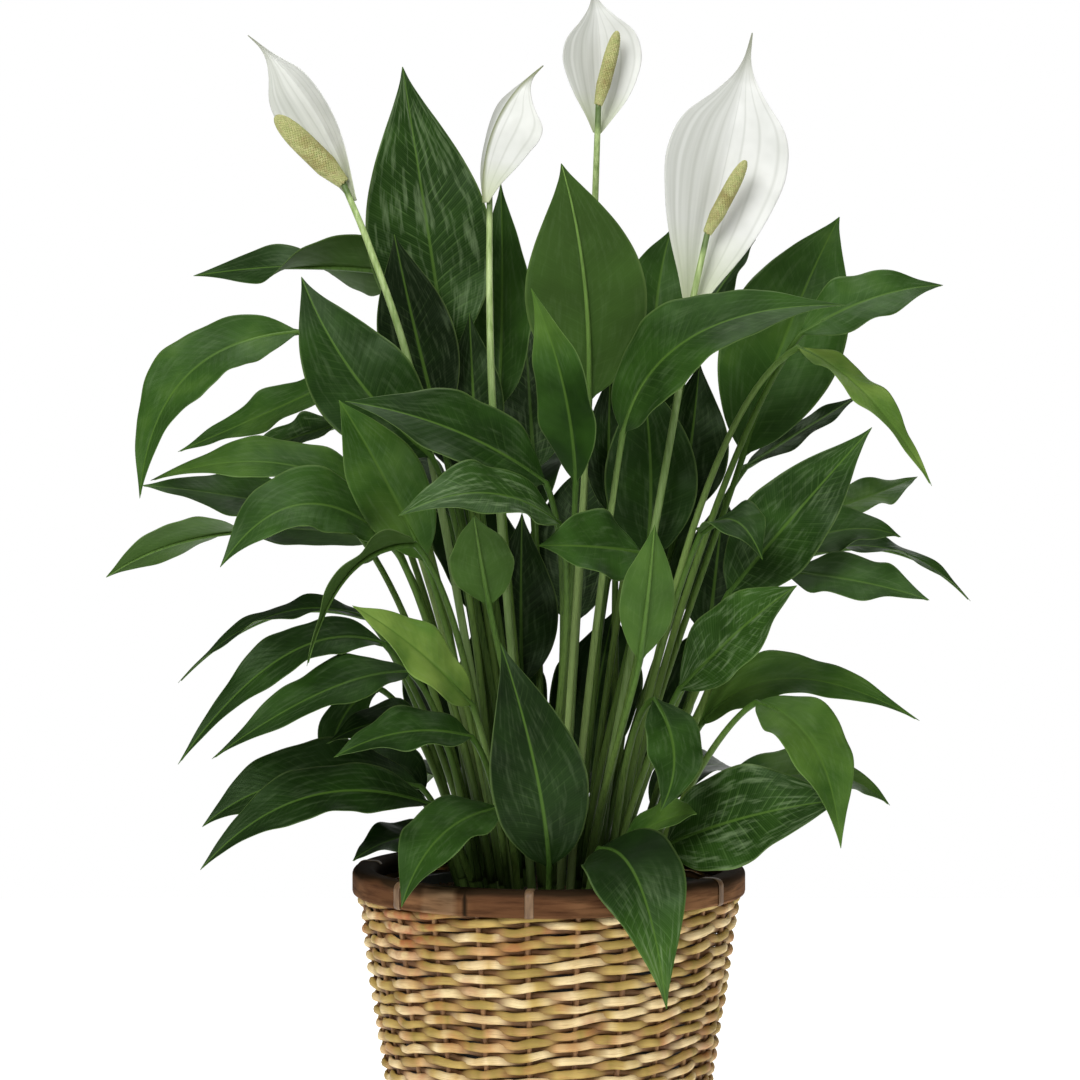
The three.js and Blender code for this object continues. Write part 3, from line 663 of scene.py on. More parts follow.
stalk = {
    "rootDepth": 16,
    "rootRadius": 2.55,
    "kneeRadius": 1.65,
    "spread": 95,
    "sheath": 26,
    "rise": 0.33,
    "arrive": 0.2,
    "knuckle": 0.3,  # swelling at the knee
    "knuckleReach": 0.05,
    "rib": 0.85,  # thickness of the midrib at the knee, as a share of the stalk's
    "ribCurve": 0.9,
    "ribTip": 0.3,
    "ribFrom": 0.03,  # where the midrib begins and ends, as shares of the blade's length
    "ribTo": 0.985,
    "sunk": 0.35,  # how far the midrib lies under the blade, as a share of its thickness
    "sinking": 0.6,  # and how much farther from the reach "sunkFrom" on
    "sunkFrom": 0.25,
    "grooveShare": 0.3,
    "steps": 26,
    "ribSteps": 34,
    "sides": 9,
}


# Tone goes from 0, darkest, to 1, a bright young leaf, and so do the tones of the tip and the stalk;
# besides a leaf's own green, these tones paint in the light and shade that fall on it. Veins say how
# strongly the side veins and the painted glints show. Leaves of one shoot share a stalk's foot.
def leaf(name, knee, belly, tip, width, face, tipFace=None, shoot=None, tone=0.3, tipTone=None,
         stalkTone=None, veins=0.25):
    return {"name": name, "knee": np.array(knee, float), "belly": np.array(belly, float),
            "tip": np.array(tip, float), "width": width, "face": np.array(face, float),
            "tipFace": np.array(tipFace or face, float), "shoot": shoot or name, "tone": tone,
            "tipTone": tone if tipTone is None else tipTone,
            "stalkTone": tone if stalkTone is None else stalkTone, "veins": veins}


# Knee, belly (the midrib halfway along), tip, width, and the way that the upper side looks.
leaves = [
    leaf("tall_left", (-60, 40, 497), (-73, 42, 582), (-86, 36, 667), 74, (0, -1, 0.1), tone=0.32, veins=1),
    leaf("center_tall", (23, -12, 470), (20, -25, 541), (7, -35, 604), 70, (0, 1, 0.1),
         tone=0.34, stalkTone=1),
    leaf("right_tall", (113, 5, 438), (143, 25, 518), (172, 40, 579), 71, (0, -1, 0.1), tone=0.46),
    leaf("left_arch", (-143, -15, 509), (-205, -45, 483), (-228, -75, 414), 46, (-0.2, -0.8, 0.6),
         tipFace=(-0.6, -0.8, 0.3), tone=0.5, stalkTone=0.9),
    leaf("left_broad", (-67, -42, 438), (-111, -45, 485), (-141, -30, 540), 58, (0, -1, 0.3),
         shoot="left_arch", tone=0.28),
    leaf("left_twist", (-89, 75, 546), (-146, 95, 553), (-218, 115, 548), 50, (0, 0.9, 0.3),
         tipFace=(0, -0.9, 0.4), tone=0.3),
    leaf("right_sweep", (42, -42, 451), (81, -72, 505), (166, -68, 522), 56, (0, -0.7, 0.7),
         tone=0.4, stalkTone=0.9),
    leaf("right_far", (145, -14, 508), (185, -20, 528), (227, -12, 536), 42, (0, -0.7, 0.7), tone=0.42),
    leaf("right_drop_thin", (143, -20, 500), (180, -45, 472), (214, -70, 421), 28, (0.5, -0.6, 0.6),
         shoot="right_far", tone=0.8),
    leaf("center_wide", (-2, -72, 423), (-52, -95, 452), (-112, -102, 468), 52, (0, -0.75, 0.65),
         tone=0.26),
    leaf("front_dark", (0, -80, 209), (-8, -100, 268), (-27, -92, 335), 54, (0.1, -1, 0.2),
         tone=0.12, veins=0.2),
    leaf("front_hang", (28, -80, 219), (49, -120, 205), (63, -150, 141), 54, (0.1, -0.8, 0.6),
         tone=0.14, tipTone=0.5, veins=0.9),
    leaf("front_left_drop", (-27, -72, 241), (-60, -108, 229), (-80, -135, 194), 44, (-0.3, -0.7, 0.6),
         tone=0.38),
    leaf("right_broad", (102, -45, 360), (138, -62, 405), (180, -75, 454), 50, (0, -0.9, 0.4),
         tone=0.3, veins=0.5),
    leaf("right_veined", (74, -50, 306), (107, -80, 342), (136, -105, 367), 42, (0, -0.85, 0.5),
         tone=0.42, veins=1),
    leaf("right_low_broad", (66, -55, 218), (112, -85, 238), (163, -110, 250), 61, (0.1, -0.85, 0.5),
         tone=0.34, veins=1),
    leaf("right_arch", (87, -20, 283), (137, -35, 311), (210, -50, 288), 40, (0, -0.6, 0.8), tone=0.58),
    leaf("right_drop_bright", (116, -70, 300), (146, -100, 278), (159, -120, 224), 44, (0.4, -0.8, 0.4),
         tone=0.6),
    leaf("left_low_broad", (-74, -15, 247), (-144, -25, 252), (-198, -35, 226), 50, (0, -0.7, 0.7),
         tone=0.22),
    leaf("left_low_second", (-67, -45, 240), (-135, -70, 247), (-193, -95, 209), 40, (0, -0.65, 0.75),
         tone=0.2),
    leaf("left_narrow", (-127, 55, 482), (-172, 65, 462), (-224, 80, 440), 32, (0, -0.7, 0.7), tone=0.5),
    leaf("left_small", (-129, 85, 456), (-161, 105, 447), (-190, 125, 438), 34, (0, -0.7, 0.7),
         shoot="left_narrow", tone=0.34, veins=0.8),
    leaf("left_light", (-99, -35, 410), (-155, -50, 434), (-224, -60, 424), 42, (0, -0.6, 0.8),
         shoot="left_mid", tone=0.58),
    leaf("left_flat", (-118, -5, 401), (-178, -15, 414), (-234, -20, 421), 40, (0, -0.6, 0.75),
         shoot="left_far", tone=0.44),
    leaf("left_mid", (-89, -55, 390), (-138, -85, 411), (-180, -110, 377), 50, (0, -0.75, 0.7), tone=0.46),
    leaf("left_far", (-96, 18, 389), (-190, 22, 393), (-261, 30, 366), 54, (0, -0.75, 0.7),
         tipFace=(0, 0.85, 0.5), tone=0.46),
    leaf("left_inner", (-73, -45, 379), (-99, -65, 430), (-122, -72, 469), 44, (0, -0.9, 0.3), tone=0.54),
    leaf("left_down_dark", (-80, -76, 389), (-117, -108, 375), (-140, -134, 325), 34, (-0.3, 0.4, 0.8),
         shoot="left_inner", tone=0.26),
    leaf("left_thin_high", (-107, 15, 343), (-165, 30, 343), (-223, 45, 302), 26, (0, -0.35, 0.9),
         tone=0.26),
    leaf("left_thin_low", (-94, -25, 330), (-149, -45, 325), (-209, -60, 264), 34, (0, -0.6, 0.8),
         shoot="left_mid_low", tone=0.28),
    leaf("left_bright", (-43, -75, 299), (-73, -105, 332), (-107, -125, 357), 35, (0.2, -0.8, 0.6),
         tone=0.82),
    leaf("left_mid_low", (-79, -40, 315), (-126, -65, 306), (-187, -90, 270), 38, (0, -0.55, 0.8),
         tone=0.33),
    leaf("left_drop_dark", (-99, 5, 302), (-121, 0, 283), (-131, -5, 239), 28, (-0.5, -0.7, 0.5),
         shoot="left_thin_high", tone=0.34),
    leaf("left_dark_low", (-37, -88, 282), (-73, -106, 286), (-110, -118, 273), 36, (0, -0.6, 0.8),
         tone=0.31),
    leaf("left_dark_behind", (-62, -35, 279), (-93, -45, 287), (-126, -50, 275), 34, (0, -0.5, 0.8),
         shoot="left_low_second", tone=0.2),
    leaf("left_shade", (-75, 42, 234), (-105, 60, 249), (-135, 75, 230), 46, (0, -0.6, 0.8), tone=0.24),
    leaf("left_rim", (-62, -15, 221), (-89, -35, 219), (-111, -54, 209), 30, (-0.2, -0.6, 0.8),
         shoot="left_low_broad", tone=0.24),
    leaf("shade_tall", (-64, 30, 453), (-79, 22, 515), (-90, 14, 567), 46, (0, -1, 0),
         shoot="tall_left", tone=0),
    leaf("back_dark", (-26, 60, 465), (-22, 85, 532), (-22, 100, 604), 44, (-0.4, -0.8, 0.1), tone=0.4),
    leaf("back_right", (64, 70, 504), (67, 85, 541), (75, 95, 576), 42, (0, -1, 0), tone=0.42),
    leaf("center_bright", (15, -62, 423), (8, -75, 477), (-10, -78, 531), 36, (-0.5, -0.8, 0.1),
         shoot="center_wide", tone=0.3, tipTone=0.62),
    leaf("center_back", (57, 0, 377), (59, 0, 435), (53, 5, 488), 54, (0, -1, 0.1), tone=0.26),
    leaf("right_thin_dark", (90, 45, 518), (104, 60, 540), (125, 75, 569), 26, (-0.5, -0.5, 0.6),
         shoot="right_dark_thin", tone=0.14),
    leaf("right_dark_thin", (118, 60, 431), (157, 85, 455), (193, 110, 476), 17, (0, -0.6, 0.7), tone=0.14),
    leaf("right_light", (161, 40, 404), (194, 65, 414), (225, 95, 425), 32, (0, -0.5, 0.8), tone=0.56),
    leaf("right_mid_tip", (128, -10, 378), (168, -15, 395), (203, -15, 391), 40, (0, -0.6, 0.8),
         shoot="right_arch", tone=0.42),
    leaf("right_hook", (150, 30, 379), (204, 30, 382), (249, 30, 352), 24, (0, -0.3, 1),
         shoot="right_light", tone=0.3),
    leaf("right_low_mid", (135, -35, 372), (176, -60, 367), (211, -85, 358), 38, (0, -0.65, 0.75),
         shoot="right_drop_bright", tone=0.44),
    leaf("right_low_back", (101, 30, 235), (160, 45, 249), (205, 60, 228), 46, (0, -0.5, 0.8), tone=0.58),
    leaf("center_veined", (2, -90, 401), (-39, -124, 418), (-86, -146, 406), 48, (0, -0.65, 0.75),
         tone=0.36, veins=1),
    leaf("center_small_left", (-36, -75, 355), (-41, -90, 382), (-45, -105, 406), 36, (0, 0.9, 0.4),
         shoot="center_veined", tone=0.46),
    leaf("center_mid", (51, -72, 384), (24, -95, 388), (-6, -112, 389), 46, (0, -0.85, 0.5), tone=0.42),
    leaf("center_light", (50, -100, 326), (54, -120, 365), (57, -130, 401), 30, (0, 0.95, 0.3),
         shoot="center_mid", tone=0.5),
    leaf("center_right_small", (86, -58, 395), (103, -85, 402), (117, -105, 381), 36, (0, -0.5, 0.8),
         shoot="right_broad", tone=0.36),
    leaf("low_center_right", (59, -75, 302), (69, -95, 273), (61, -108, 243), 34, (0.3, -0.8, 0.5),
         shoot="right_veined", tone=0.34),
    leaf("low_olive", (41, -56, 219), (63, -76, 234), (82, -90, 240), 38, (0, -0.6, 0.8),
         shoot="right_low_broad", tone=0.58),
]

# In the shade among the stalks, leaves close the middle of the clump. Their dark tone is painted shade.
innerLeaves = [
    leaf(f"inner_{name}", knee, belly, tip, width, (0, -1, 0.1), shoot=shoot, tone=0.08)
    for name, knee, belly, tip, width, shoot in (
        ("right", (78, 40, 402), (85, 46, 447), (90, 52, 494), 46, "back_right"),
        ("mid", (35, 3, 405), (35, 5, 448), (36, 8, 488), 28, "center_back"),
        ("low", (94, 22, 332), (99, 28, 374), (104, 34, 416), 44, "right_light"),
        ("left", (-40, 34, 430), (-42, 38, 476), (-44, 40, 522), 36, "back_dark"),
        ("dark", (-13, 42, 302), (-13, 48, 352), (-12, 54, 404), 44, "back_dark"),
    )
]

# Behind, leaves stand in tiers round the back of the clump. What differs from leaf to leaf has a
# middle, a spread and a pace, at which it goes up and down from one leaf to the next.
back = {
    "leaves": 16,
    "from": 25,
    "to": 150,
    "turn": (0, 5, 8.8),
    "width": (0, 4, 5.3),
    "lean": (0, 0.25, 4),
    "tone": (0.2, 0.1, 7.1),
    "veins": (0.4, 0.3, 3.3),
    "tiers": [
        {"out": 66, "height": 246, "reach": 52, "rise": 56, "lift": 96, "width": 55},
        {"out": 72, "height": 336, "reach": 46, "rise": 56, "lift": 98, "width": 56},
        {"out": 80, "height": 226, "reach": 106, "rise": 24, "lift": -10, "width": 47},
        {"out": 80, "height": 428, "reach": 58, "rise": 52, "lift": 98, "width": 53},
        {"out": 84, "height": 400, "reach": 96, "rise": 30, "lift": 4, "width": 49},
    ],
}


def backLeaf(i):
    def varied(what):
        middle, spread, pace = back[what]
        return middle + spread * math.sin(pace * i)

    def at(radius, height):
        return (radius * math.cos(angle), radius * math.sin(angle), height)

    tier = back["tiers"][i % len(back["tiers"])]
    even = back["from"] + (back["to"] - back["from"]) * (i + 0.5) / back["leaves"]
    angle = math.radians(even + varied("turn"))
    standing = tier["lift"] > tier["rise"]
    return leaf(
        f"back_{i + 1}",
        at(tier["out"], tier["height"]),
        at(tier["out"] + tier["reach"] / 2, tier["height"] + tier["rise"]),
        at(tier["out"] + tier["reach"], tier["height"] + tier["lift"]),
        tier["width"] + varied("width"),
        at(-1, 0.2) if standing else (varied("lean"), 0, 1),
        shoot=f"back_{i if i % 2 else i + 1}",
        tone=varied("tone"),
        veins=varied("veins"),
    )


# A smooth curve through a table of places and levels.
def smoothTable(table, places):
    knots, levels = np.array(table, float).T
    slopes = np.gradient(levels, knots)
    k = np.clip(np.searchsorted(knots, places, side="right") - 1, 0, len(knots) - 2)
    span = knots[k + 1] - knots[k]
    t = (places - knots[k]) / span
    return ((2 * t ** 3 - 3 * t ** 2 + 1) * levels[k] + (t ** 3 - 2 * t ** 2 + t) * span * slopes[k]
            + (3 * t ** 2 - 2 * t ** 3) * levels[k + 1] + (t ** 3 - t ** 2) * span * slopes[k + 1])


def smoothStep(low, high, places):
    t = np.clip((places - low) / (high - low), 0, 1)
    return t * t * (3 - 2 * t)


# Points and directions of a curve with three or four controls, at shares of its length.
def bezier(controls, shares):
    s = np.asarray(shares, float)[..., None]
    layer = [np.asarray(control, float) for control in controls]
    while len(layer) > 2:
        layer = [first * (1 - s) + second * s for first, second in zip(layer, layer[1:])]
    return layer[0] * (1 - s) + layer[1] * s, unit(layer[1] - layer[0] + 0 * s)


def midribCurve(part):
    control = 2 * part["belly"] - (part["knee"] + part["tip"]) / 2
    return part["knee"], control, part["tip"]


# The middle of the blade at shares of its length, with its upward and sideways directions.
def bladeFrame(part, shares):
    center, along = bezier(midribCurve(part), shares)
    s = np.asarray(shares)[..., None]
    face = part["face"] * (1 - s) + part["tipFace"] * s
    up = unit(face - along * (face * along).sum(-1, keepdims=True))
    return center, up, np.cross(along, up)


def rootOf(point):
    share = stalk["spread"] / (stalk["spread"] + point[2] - ground["top"])
    return np.array((point[0] * share, point[1] * share, ground["top"] - stalk["rootDepth"]))


# The stalk leaves its root nearly upright and bends over to the blade at the knee.
def stalkCurve(part, root):
    length = np.linalg.norm(part["knee"] - root)
    straight = unit(part["knee"] - root)
    rise = unit(straight + (0, 0, 1))
    arrive = unit(straight + bezier(midribCurve(part), 0.0)[1])
    return (root, root + rise * stalk["rise"] * length,
            part["knee"] - arrive * stalk["arrive"] * length, part["knee"])


# Shares of the width, from one edge over the midrib to the other.
def bothSides(columns):
    columns = np.array(columns)
    return np.concatenate((-columns[::-1], (0,), columns))[None, :]


sheetEnd = 0.9985  # a blade or hood stops just short of a sharp point


# A thin closed shell from the grids of points on its upper and under sides.
def sheetSkin(top, under):
    rows, wide = top.shape[:2]
    size = rows * wide

    def grid(start, step):
        cells = [start + i * wide + j for i in range(rows - 1) for j in range(wide - 1)]
        return [(a, a + 1, a + 1 + wide, a + wide)[::step] for a in cells]

    faces = grid(0, 1) + grid(size, -1)
    border = (list(range(wide)) + [i * wide + wide - 1 for i in range(1, rows)]
              + [size - 1 - j for j in range(1, wide)] + [i * wide for i in range(rows - 2, 0, -1)])
    for first, second in zip(border, border[1:] + border[:1]):
        faces.append((second, first, first + size, second + size))
    return np.concatenate((top.reshape(-1, 3), under.reshape(-1, 3))), faces


# Both faces of a blade. Its rows of points follow the side veins, which lean towards the tip.
def bladeSkin(part):
    length = np.linalg.norm(part["belly"] - part["knee"]) + np.linalg.norm(part["tip"] - part["belly"])
    veinCount = round(length / blade["veinGap"])
    t = np.linspace(0, sheetEnd, veinCount * blade["rowsPerVein"] + 1)[:, None]
    u = bothSides(blade["columns"])
    out = np.abs(u)
    s = np.clip(t + blade["veinLean"] * out ** blade["leanCurve"] * np.sin(math.pi * t), 0, sheetEnd)
    center, up, side = bladeFrame(part, s)
    share = smoothTable(leafOutline, s)
    half = np.maximum(share * part["width"] / 2, stalk["kneeRadius"] * (1 - s / blade["kneeReach"]))
    phase = tau * blade["waves"] * s + blade["leafPhase"] * part["order"]
    wave = np.where(u > 0, np.sin(phase), np.sin(phase + blade["edgePhase"]))
    lift = blade["fold"] * half * out ** blade["foldCurve"]
    lift += blade["wave"] * share * wave * out ** blade["waveCurve"]
    byLeaf, bySide = blade["ripplePhase"]
    ripples = tau * s * length / blade["rippleGap"] + byLeaf * part["order"] + bySide * np.sign(u)
    lift += blade["ripple"] * share * np.sin(ripples) * out ** blade["rippleCurve"]
    quilt = np.abs(np.sin(math.pi * t * veinCount)) ** blade["quiltCurve"] - blade["quiltLevel"]
    lift += (blade["quilting"] * quilt * smoothStep(*blade["quiltInner"], out)
             * smoothStep(*blade["quiltOuter"], out) * share)
    across = u * half
    groove = (np.exp(-(across / blade["grooveWidth"]) ** 2) * smoothStep(0, blade["grooveStart"], s)
              * (1 - blade["grooveFade"] * s))
    thick = blade["thickness"] / 2 * (1 - blade["thinEdge"] * u ** 2) * (1 - blade["thinTip"] * s)
    sheet = center + side * across[..., None]
    points, faces = sheetSkin(sheet + up * (lift + thick - blade["groove"] * groove)[..., None],
                              sheet + up * (lift - thick)[..., None])
    rising = smoothStep(*blade["toneRise"], s)
    toneRise = part["tipTone"] - part["tone"]
    late = min(blade["lateVeins"] * abs(toneRise), 1)
    values = {
        "across": u + 0 * s,
        "vein": t * veinCount + 0 * s,
        "rib": np.abs(across),
        "reach": s,
        "tone": part["tone"] + toneRise * rising,
        "veins": part["veins"] * (1 - late + late * rising),
    }
    values = {label: np.tile(numbers.ravel(), 2) for label, numbers in values.items()}
    return points, faces, {**values, "under": np.repeat((0, 1), s.size)}


# The stalk, which runs on under the blade as its midrib. It is drawn from foot to tip.
def stalkSkin(part, curve):
    foot = np.linspace(0, 1, stalk["steps"])
    radii = stalk["rootRadius"] + (stalk["kneeRadius"] - stalk["rootRadius"]) * foot
    radii = radii + stalk["knuckle"] * np.exp(-((1 - foot) / stalk["knuckleReach"]) ** 2)
    reach = np.linspace(stalk["ribFrom"], stalk["ribTo"], stalk["ribSteps"])
    center, up = bladeFrame(part, reach)[:2]
    ribs = stalk["kneeRadius"] * stalk["rib"] * (1 - reach) ** stalk["ribCurve"] + stalk["ribTip"]
    sunk = ribs * (stalk["sunk"] + stalk["sinking"] * smoothStep(0, stalk["sunkFrom"], reach))
    sunk = sunk + blade["groove"] * stalk["grooveShare"]
    line = np.concatenate((bezier(curve, foot)[0], center - up * sunk[:, None]))
    points, faces = loft(tubeRings(line, np.concatenate((radii, ribs)), stalk["sides"]))
    return points, faces, {"reach": np.repeat(np.concatenate((foot, 1 + reach)), stalk["sides"])}


# The turn that a shoot was given to hang clear of its neighbours, read from where its tip lies.
def turnOf(part, node):
    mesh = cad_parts[node].data
    spots = np.zeros(len(mesh.vertices) * 3)
    mesh.vertices.foreach_get("co", spots)
    x, y, z = (spots.reshape(-1, 3) / mm).T
    tip = part["tip"]
    near = np.abs(z - tip[2]) + np.abs(np.hypot(x, y) - math.hypot(tip[0], tip[1])) < 0.1
    turns = np.arctan2(y[near], x[near]) - math.atan2(tip[1], tip[0])
    turns = (turns + math.pi) % tau - math.pi
    return turns[np.abs(turns).argmin()]


def turned(points, angle):
    c, s = math.cos(angle), math.sin(angle)
    return points @ np.array(((c, s, 0), (-s, c, 0), (0, 0, 1)))


leafValues = ("tone", "veins", "stalkTone")  # one number for the whole of a leaf
skinValues = ("across", "vein", "rib", "reach", "under")


def makeShoot(name, shoot, materials):
    node = f"leaf_{name}"
    root = np.mean([rootOf(part["knee"]) for part in shoot], axis=0)
    first = stalkCurve(shoot[0], root)
    start = bezier(first, stalk["sheath"] / (shoot[0]["knee"][2] - root[2]))[0]
    points, faces, finishes = [], [], []
    values = {label: [] for label in skinValues + leafValues}
    for order, part in enumerate(shoot):
        curve = stalkCurve(part, start if order else root)
        for finish, skin in enumerate((bladeSkin(part), stalkSkin(part, curve))):
            count = sum(len(group) for group in points)
            points.append(skin[0])
            faces += [tuple(count + spot for spot in face) for face in skin[1]]
            finishes += [finish] * len(skin[1])
            for label in values:
                level = part[label] if label in leafValues else 0
                values[label].append(skin[2].get(label, np.full(len(skin[0]), level, float)))
    spots = turned(np.concatenate(points), turnOf(shoot[0], node))
    joined = {label: np.concatenate(numbers) for label, numbers in values.items()}
    meshPiece(f"foliage_{name}", spots, faces, materials, [node], values=joined, finishes=finishes)


def makeLeaves(materials):
    shoots = {}
    behind = [backLeaf(i) for i in range(back["leaves"])]
    for order, part in enumerate(leaves + behind + innerLeaves):
        part["order"] = order
        shoots.setdefault(part["shoot"], []).append(part)
    for name, shoot in shoots.items():
        makeShoot(name, shoot, materials)
    return len(shoots)


# Half-width of a spathe, the white hood behind each flower spike.
spatheOutline = [(0, 0.1), (0.1, 0.34), (0.22, 0.64), (0.36, 0.88), (0.52, 1), (0.66, 0.82), (0.76, 0.42),
                 (0.84, 0.16), (0.9, 0.06), (0.95, 0.03), (1, 0.01)]

bloom = {
    "stemRoot": 2.5,
    "stemTop": 1.7,
    "stemSides": 12,
    "stemSteps": 24,  # between one of the stem's points and the next
    "clear": 3.6,  # from the middle of the stem back to the hood's foot
    "thickness": 0.9,
    "thinEdge": 0.5,
    "thinTip": 0.35,
    "rows": 84,
    "columns": (0.06, 0.14, 0.22, 0.31, 0.4, 0.49, 0.58, 0.66, 0.74, 0.82, 0.9, 0.96, 1),
    "cupCurve": 1.335,
    "pleats": 7,
    "pleatSpread": 0.8,
    "pleatDepth": 0.42,
    "pleatCurve": 0.8,
    "pleatLevel": 0.5,
    "pleatInner": (0, 0.15),  # the pleats set in near the foot, and are shallow at the edge
    "pleatOuter": (1.02, 0.85),
    "edgeWave": 0.9,
    "edgeWaves": 1.7,
    "edgePhase": 1.9,
    "bloomPhase": 1.7,
    "keel": 0.7,
    "keelWidth": 1.3,
    "keelEnd": (1, 0.7),
}

# The stem passes through its points to the spike's foot. The hood leaves it at the height "hood".
# The last number says how much painted shade greys one half of the hood: its left half where the number is
# below 0.
blooms = {
    "left": {
        "stem": [(-78, -14, 482), (-104, -6, 560)],
        "foot": (-119, 0, 596), "top": (-158, -6, 634), "radius": 6.4,
        "hood": 584, "belly": (-138, 8.5, 642), "tip": (-174, 2, 681), "width": 42,
        "face": (-0.6, -0.75, -0.3), "cup": 0.5, "green": 0.08, "shadeSide": -0.6,
    },
    "middle": {
        "stem": [(-32, -20, 464), (-34, -14, 530)],
        "foot": (-34, -8, 591), "top": (-16, 0, 632), "radius": 4,
        "hood": 582, "belly": (-30, -12, 628), "tip": (-3, -12, 662), "width": 58,
        "face": (0.8, 0.5, 0), "cup": 0.45, "green": 0.08, "shadeSide": 1,
    },
    "top": {
        "stem": [(24, 22, 480), (27, 8, 585)],
        "foot": (28.6, -10, 640), "top": (39.5, -14, 682), "radius": 3.8,
        "hood": 624, "belly": (30, 0, 668), "tip": (24, -6, 712), "width": 46,
        "face": (0.1, -1, 0.1), "cup": 0.35, "green": 0.05, "shadeSide": -0.7,
    },
    "right": {
        "stem": [(72, -20, 460), (81, -30, 521)],
        "foot": (90.4, -30, 565), "top": (112, -36, 606), "radius": 4,
        "hood": 521, "belly": (101, -18, 604), "tip": (116, -26, 679), "width": 70,
        "face": (0.05, -1, 0.1), "cup": 0.22, "green": 0.04, "shadeSide": -1,
    },
}


# A line that passes smoothly through the points, with the same number of steps between each two.
def lineThrough(points, steps):
    spots = [np.asarray(point, float) for point in points]
    spots = [2 * spots[0] - spots[1], *spots, 2 * spots[-1] - spots[-2]]
    line = []
    for a, b, c, d in zip(spots, spots[1:], spots[2:], spots[3:]):
        k1 = math.sqrt(np.linalg.norm(b - a))
        k2 = k1 + math.sqrt(np.linalg.norm(c - b))
        k3 = k2 + math.sqrt(np.linalg.norm(d - c))
        t = np.linspace(k1, k2, steps, endpoint=False)[:, None]
        ab = (a * (k1 - t) + b * t) / k1
        bc = (b * (k2 - t) + c * (t - k1)) / (k2 - k1)
        cd = (c * (k3 - t) + d * (t - k2)) / (k3 - k2)
        first = (ab * (k2 - t) + bc * t) / k2
        second = (bc * (k3 - t) + cd * (t - k1)) / (k3 - k1)
        line.append((first * (k2 - t) + second * (t - k1)) / (k2 - k1))
    return np.concatenate(line + [spots[-2][None, :]])


def makeStem(name, line, material):
    share = np.linspace(0, 1, len(line))
    radii = bloom["stemRoot"] + (bloom["stemTop"] - bloom["stemRoot"]) * share
    points, faces = loft(tubeRings(line, radii, bloom["stemSides"]))
    values = {"reach": np.repeat(share, bloom["stemSides"])}
    meshPiece(f"bloomStem_{name}", points, faces, [material], [f"bloom_{name}_stem"],
              values=values)


# The hood is one cupped sheet with pleats running to its tip, and a keel down the middle of its back.
def makeSpathe(name, part, line, material, phase):
    above = int(np.argmax(line[:, 2] >= part["hood"]))
    face = unit(np.array(part["face"], float))
    sheet = {"knee": line[above] - face * bloom["clear"], "belly": np.array(part["belly"], float),
             "tip": np.array(part["tip"], float), "face": face, "tipFace": face}
    u = bothSides(bloom["columns"])
    out = np.abs(u)
    s = np.linspace(0, sheetEnd, bloom["rows"])[:, None] + 0 * u
    center, up, side = bladeFrame(sheet, s)
    share = smoothTable(spatheOutline, s)
    half = share * part["width"] / 2
    waves = np.sin(tau * bloom["edgeWaves"] * s + phase + bloom["edgePhase"] * np.sign(u))
    turns = math.pi * bloom["pleats"] * out ** bloom["pleatSpread"] / 2
    pleats = np.abs(np.sin(turns)) ** bloom["pleatCurve"] - bloom["pleatLevel"]
    lift = part["cup"] * half * out ** bloom["cupCurve"] + bloom["edgeWave"] * share * waves * out ** 2
    lift += (bloom["pleatDepth"] * pleats * share * smoothStep(*bloom["pleatInner"], s)
             * smoothStep(*bloom["pleatOuter"], out))
    keel = bloom["keel"] * np.exp(-(u * half / bloom["keelWidth"]) ** 2) * smoothStep(*bloom["keelEnd"], s)
    thick = bloom["thickness"] / 2 * (1 - bloom["thinEdge"] * u ** 2) * (1 - bloom["thinTip"] * s)
    middle = center + side * (u * half)[..., None]
    points, faces = sheetSkin(middle + up * (lift + thick)[..., None],
                              middle + up * (lift - thick - keel)[..., None])
    values = {"across": u + 0 * s, "reach": s, "rib": np.abs(u * half), "tone": part["green"] + 0 * s,
              "shadeSide": part["shadeSide"] + 0 * s}
    values = {label: np.tile(numbers.ravel(), 2) for label, numbers in values.items()}
    values["under"] = np.repeat((0, 1), s.size)
    meshPiece(f"spathe_{name}", points, faces, [material], [f"bloom_{name}_spathe"],
              values=values)


spike = {
    "Florets": 560,
    "Floret": 1.15,
    "Smallest": 0.55,  # the last floret's size, as a share of the others'
    "Sunk": 0.62,
    "Length": 50.0,
    "Radius": 4.0,
    "Seed": 0,
    "foot": 0.5,  # the spike's thickness at its foot, as a share of its radius
    "widening": 2.0,
    "blunt": 0.55,  # from here on the tip closes
    "roundness": 2.4,
    "fullSize": 190,  # length by radius of a spike that has all the florets
    "core": 0.86,  # of the radius, under the florets
    "coreFoot": 0.4,
    "coreTip": 0.02,
    "rings": 25,
    "sides": 14,
    "short": 1,  # the florets end this far under the top, because they stick out themselves
}


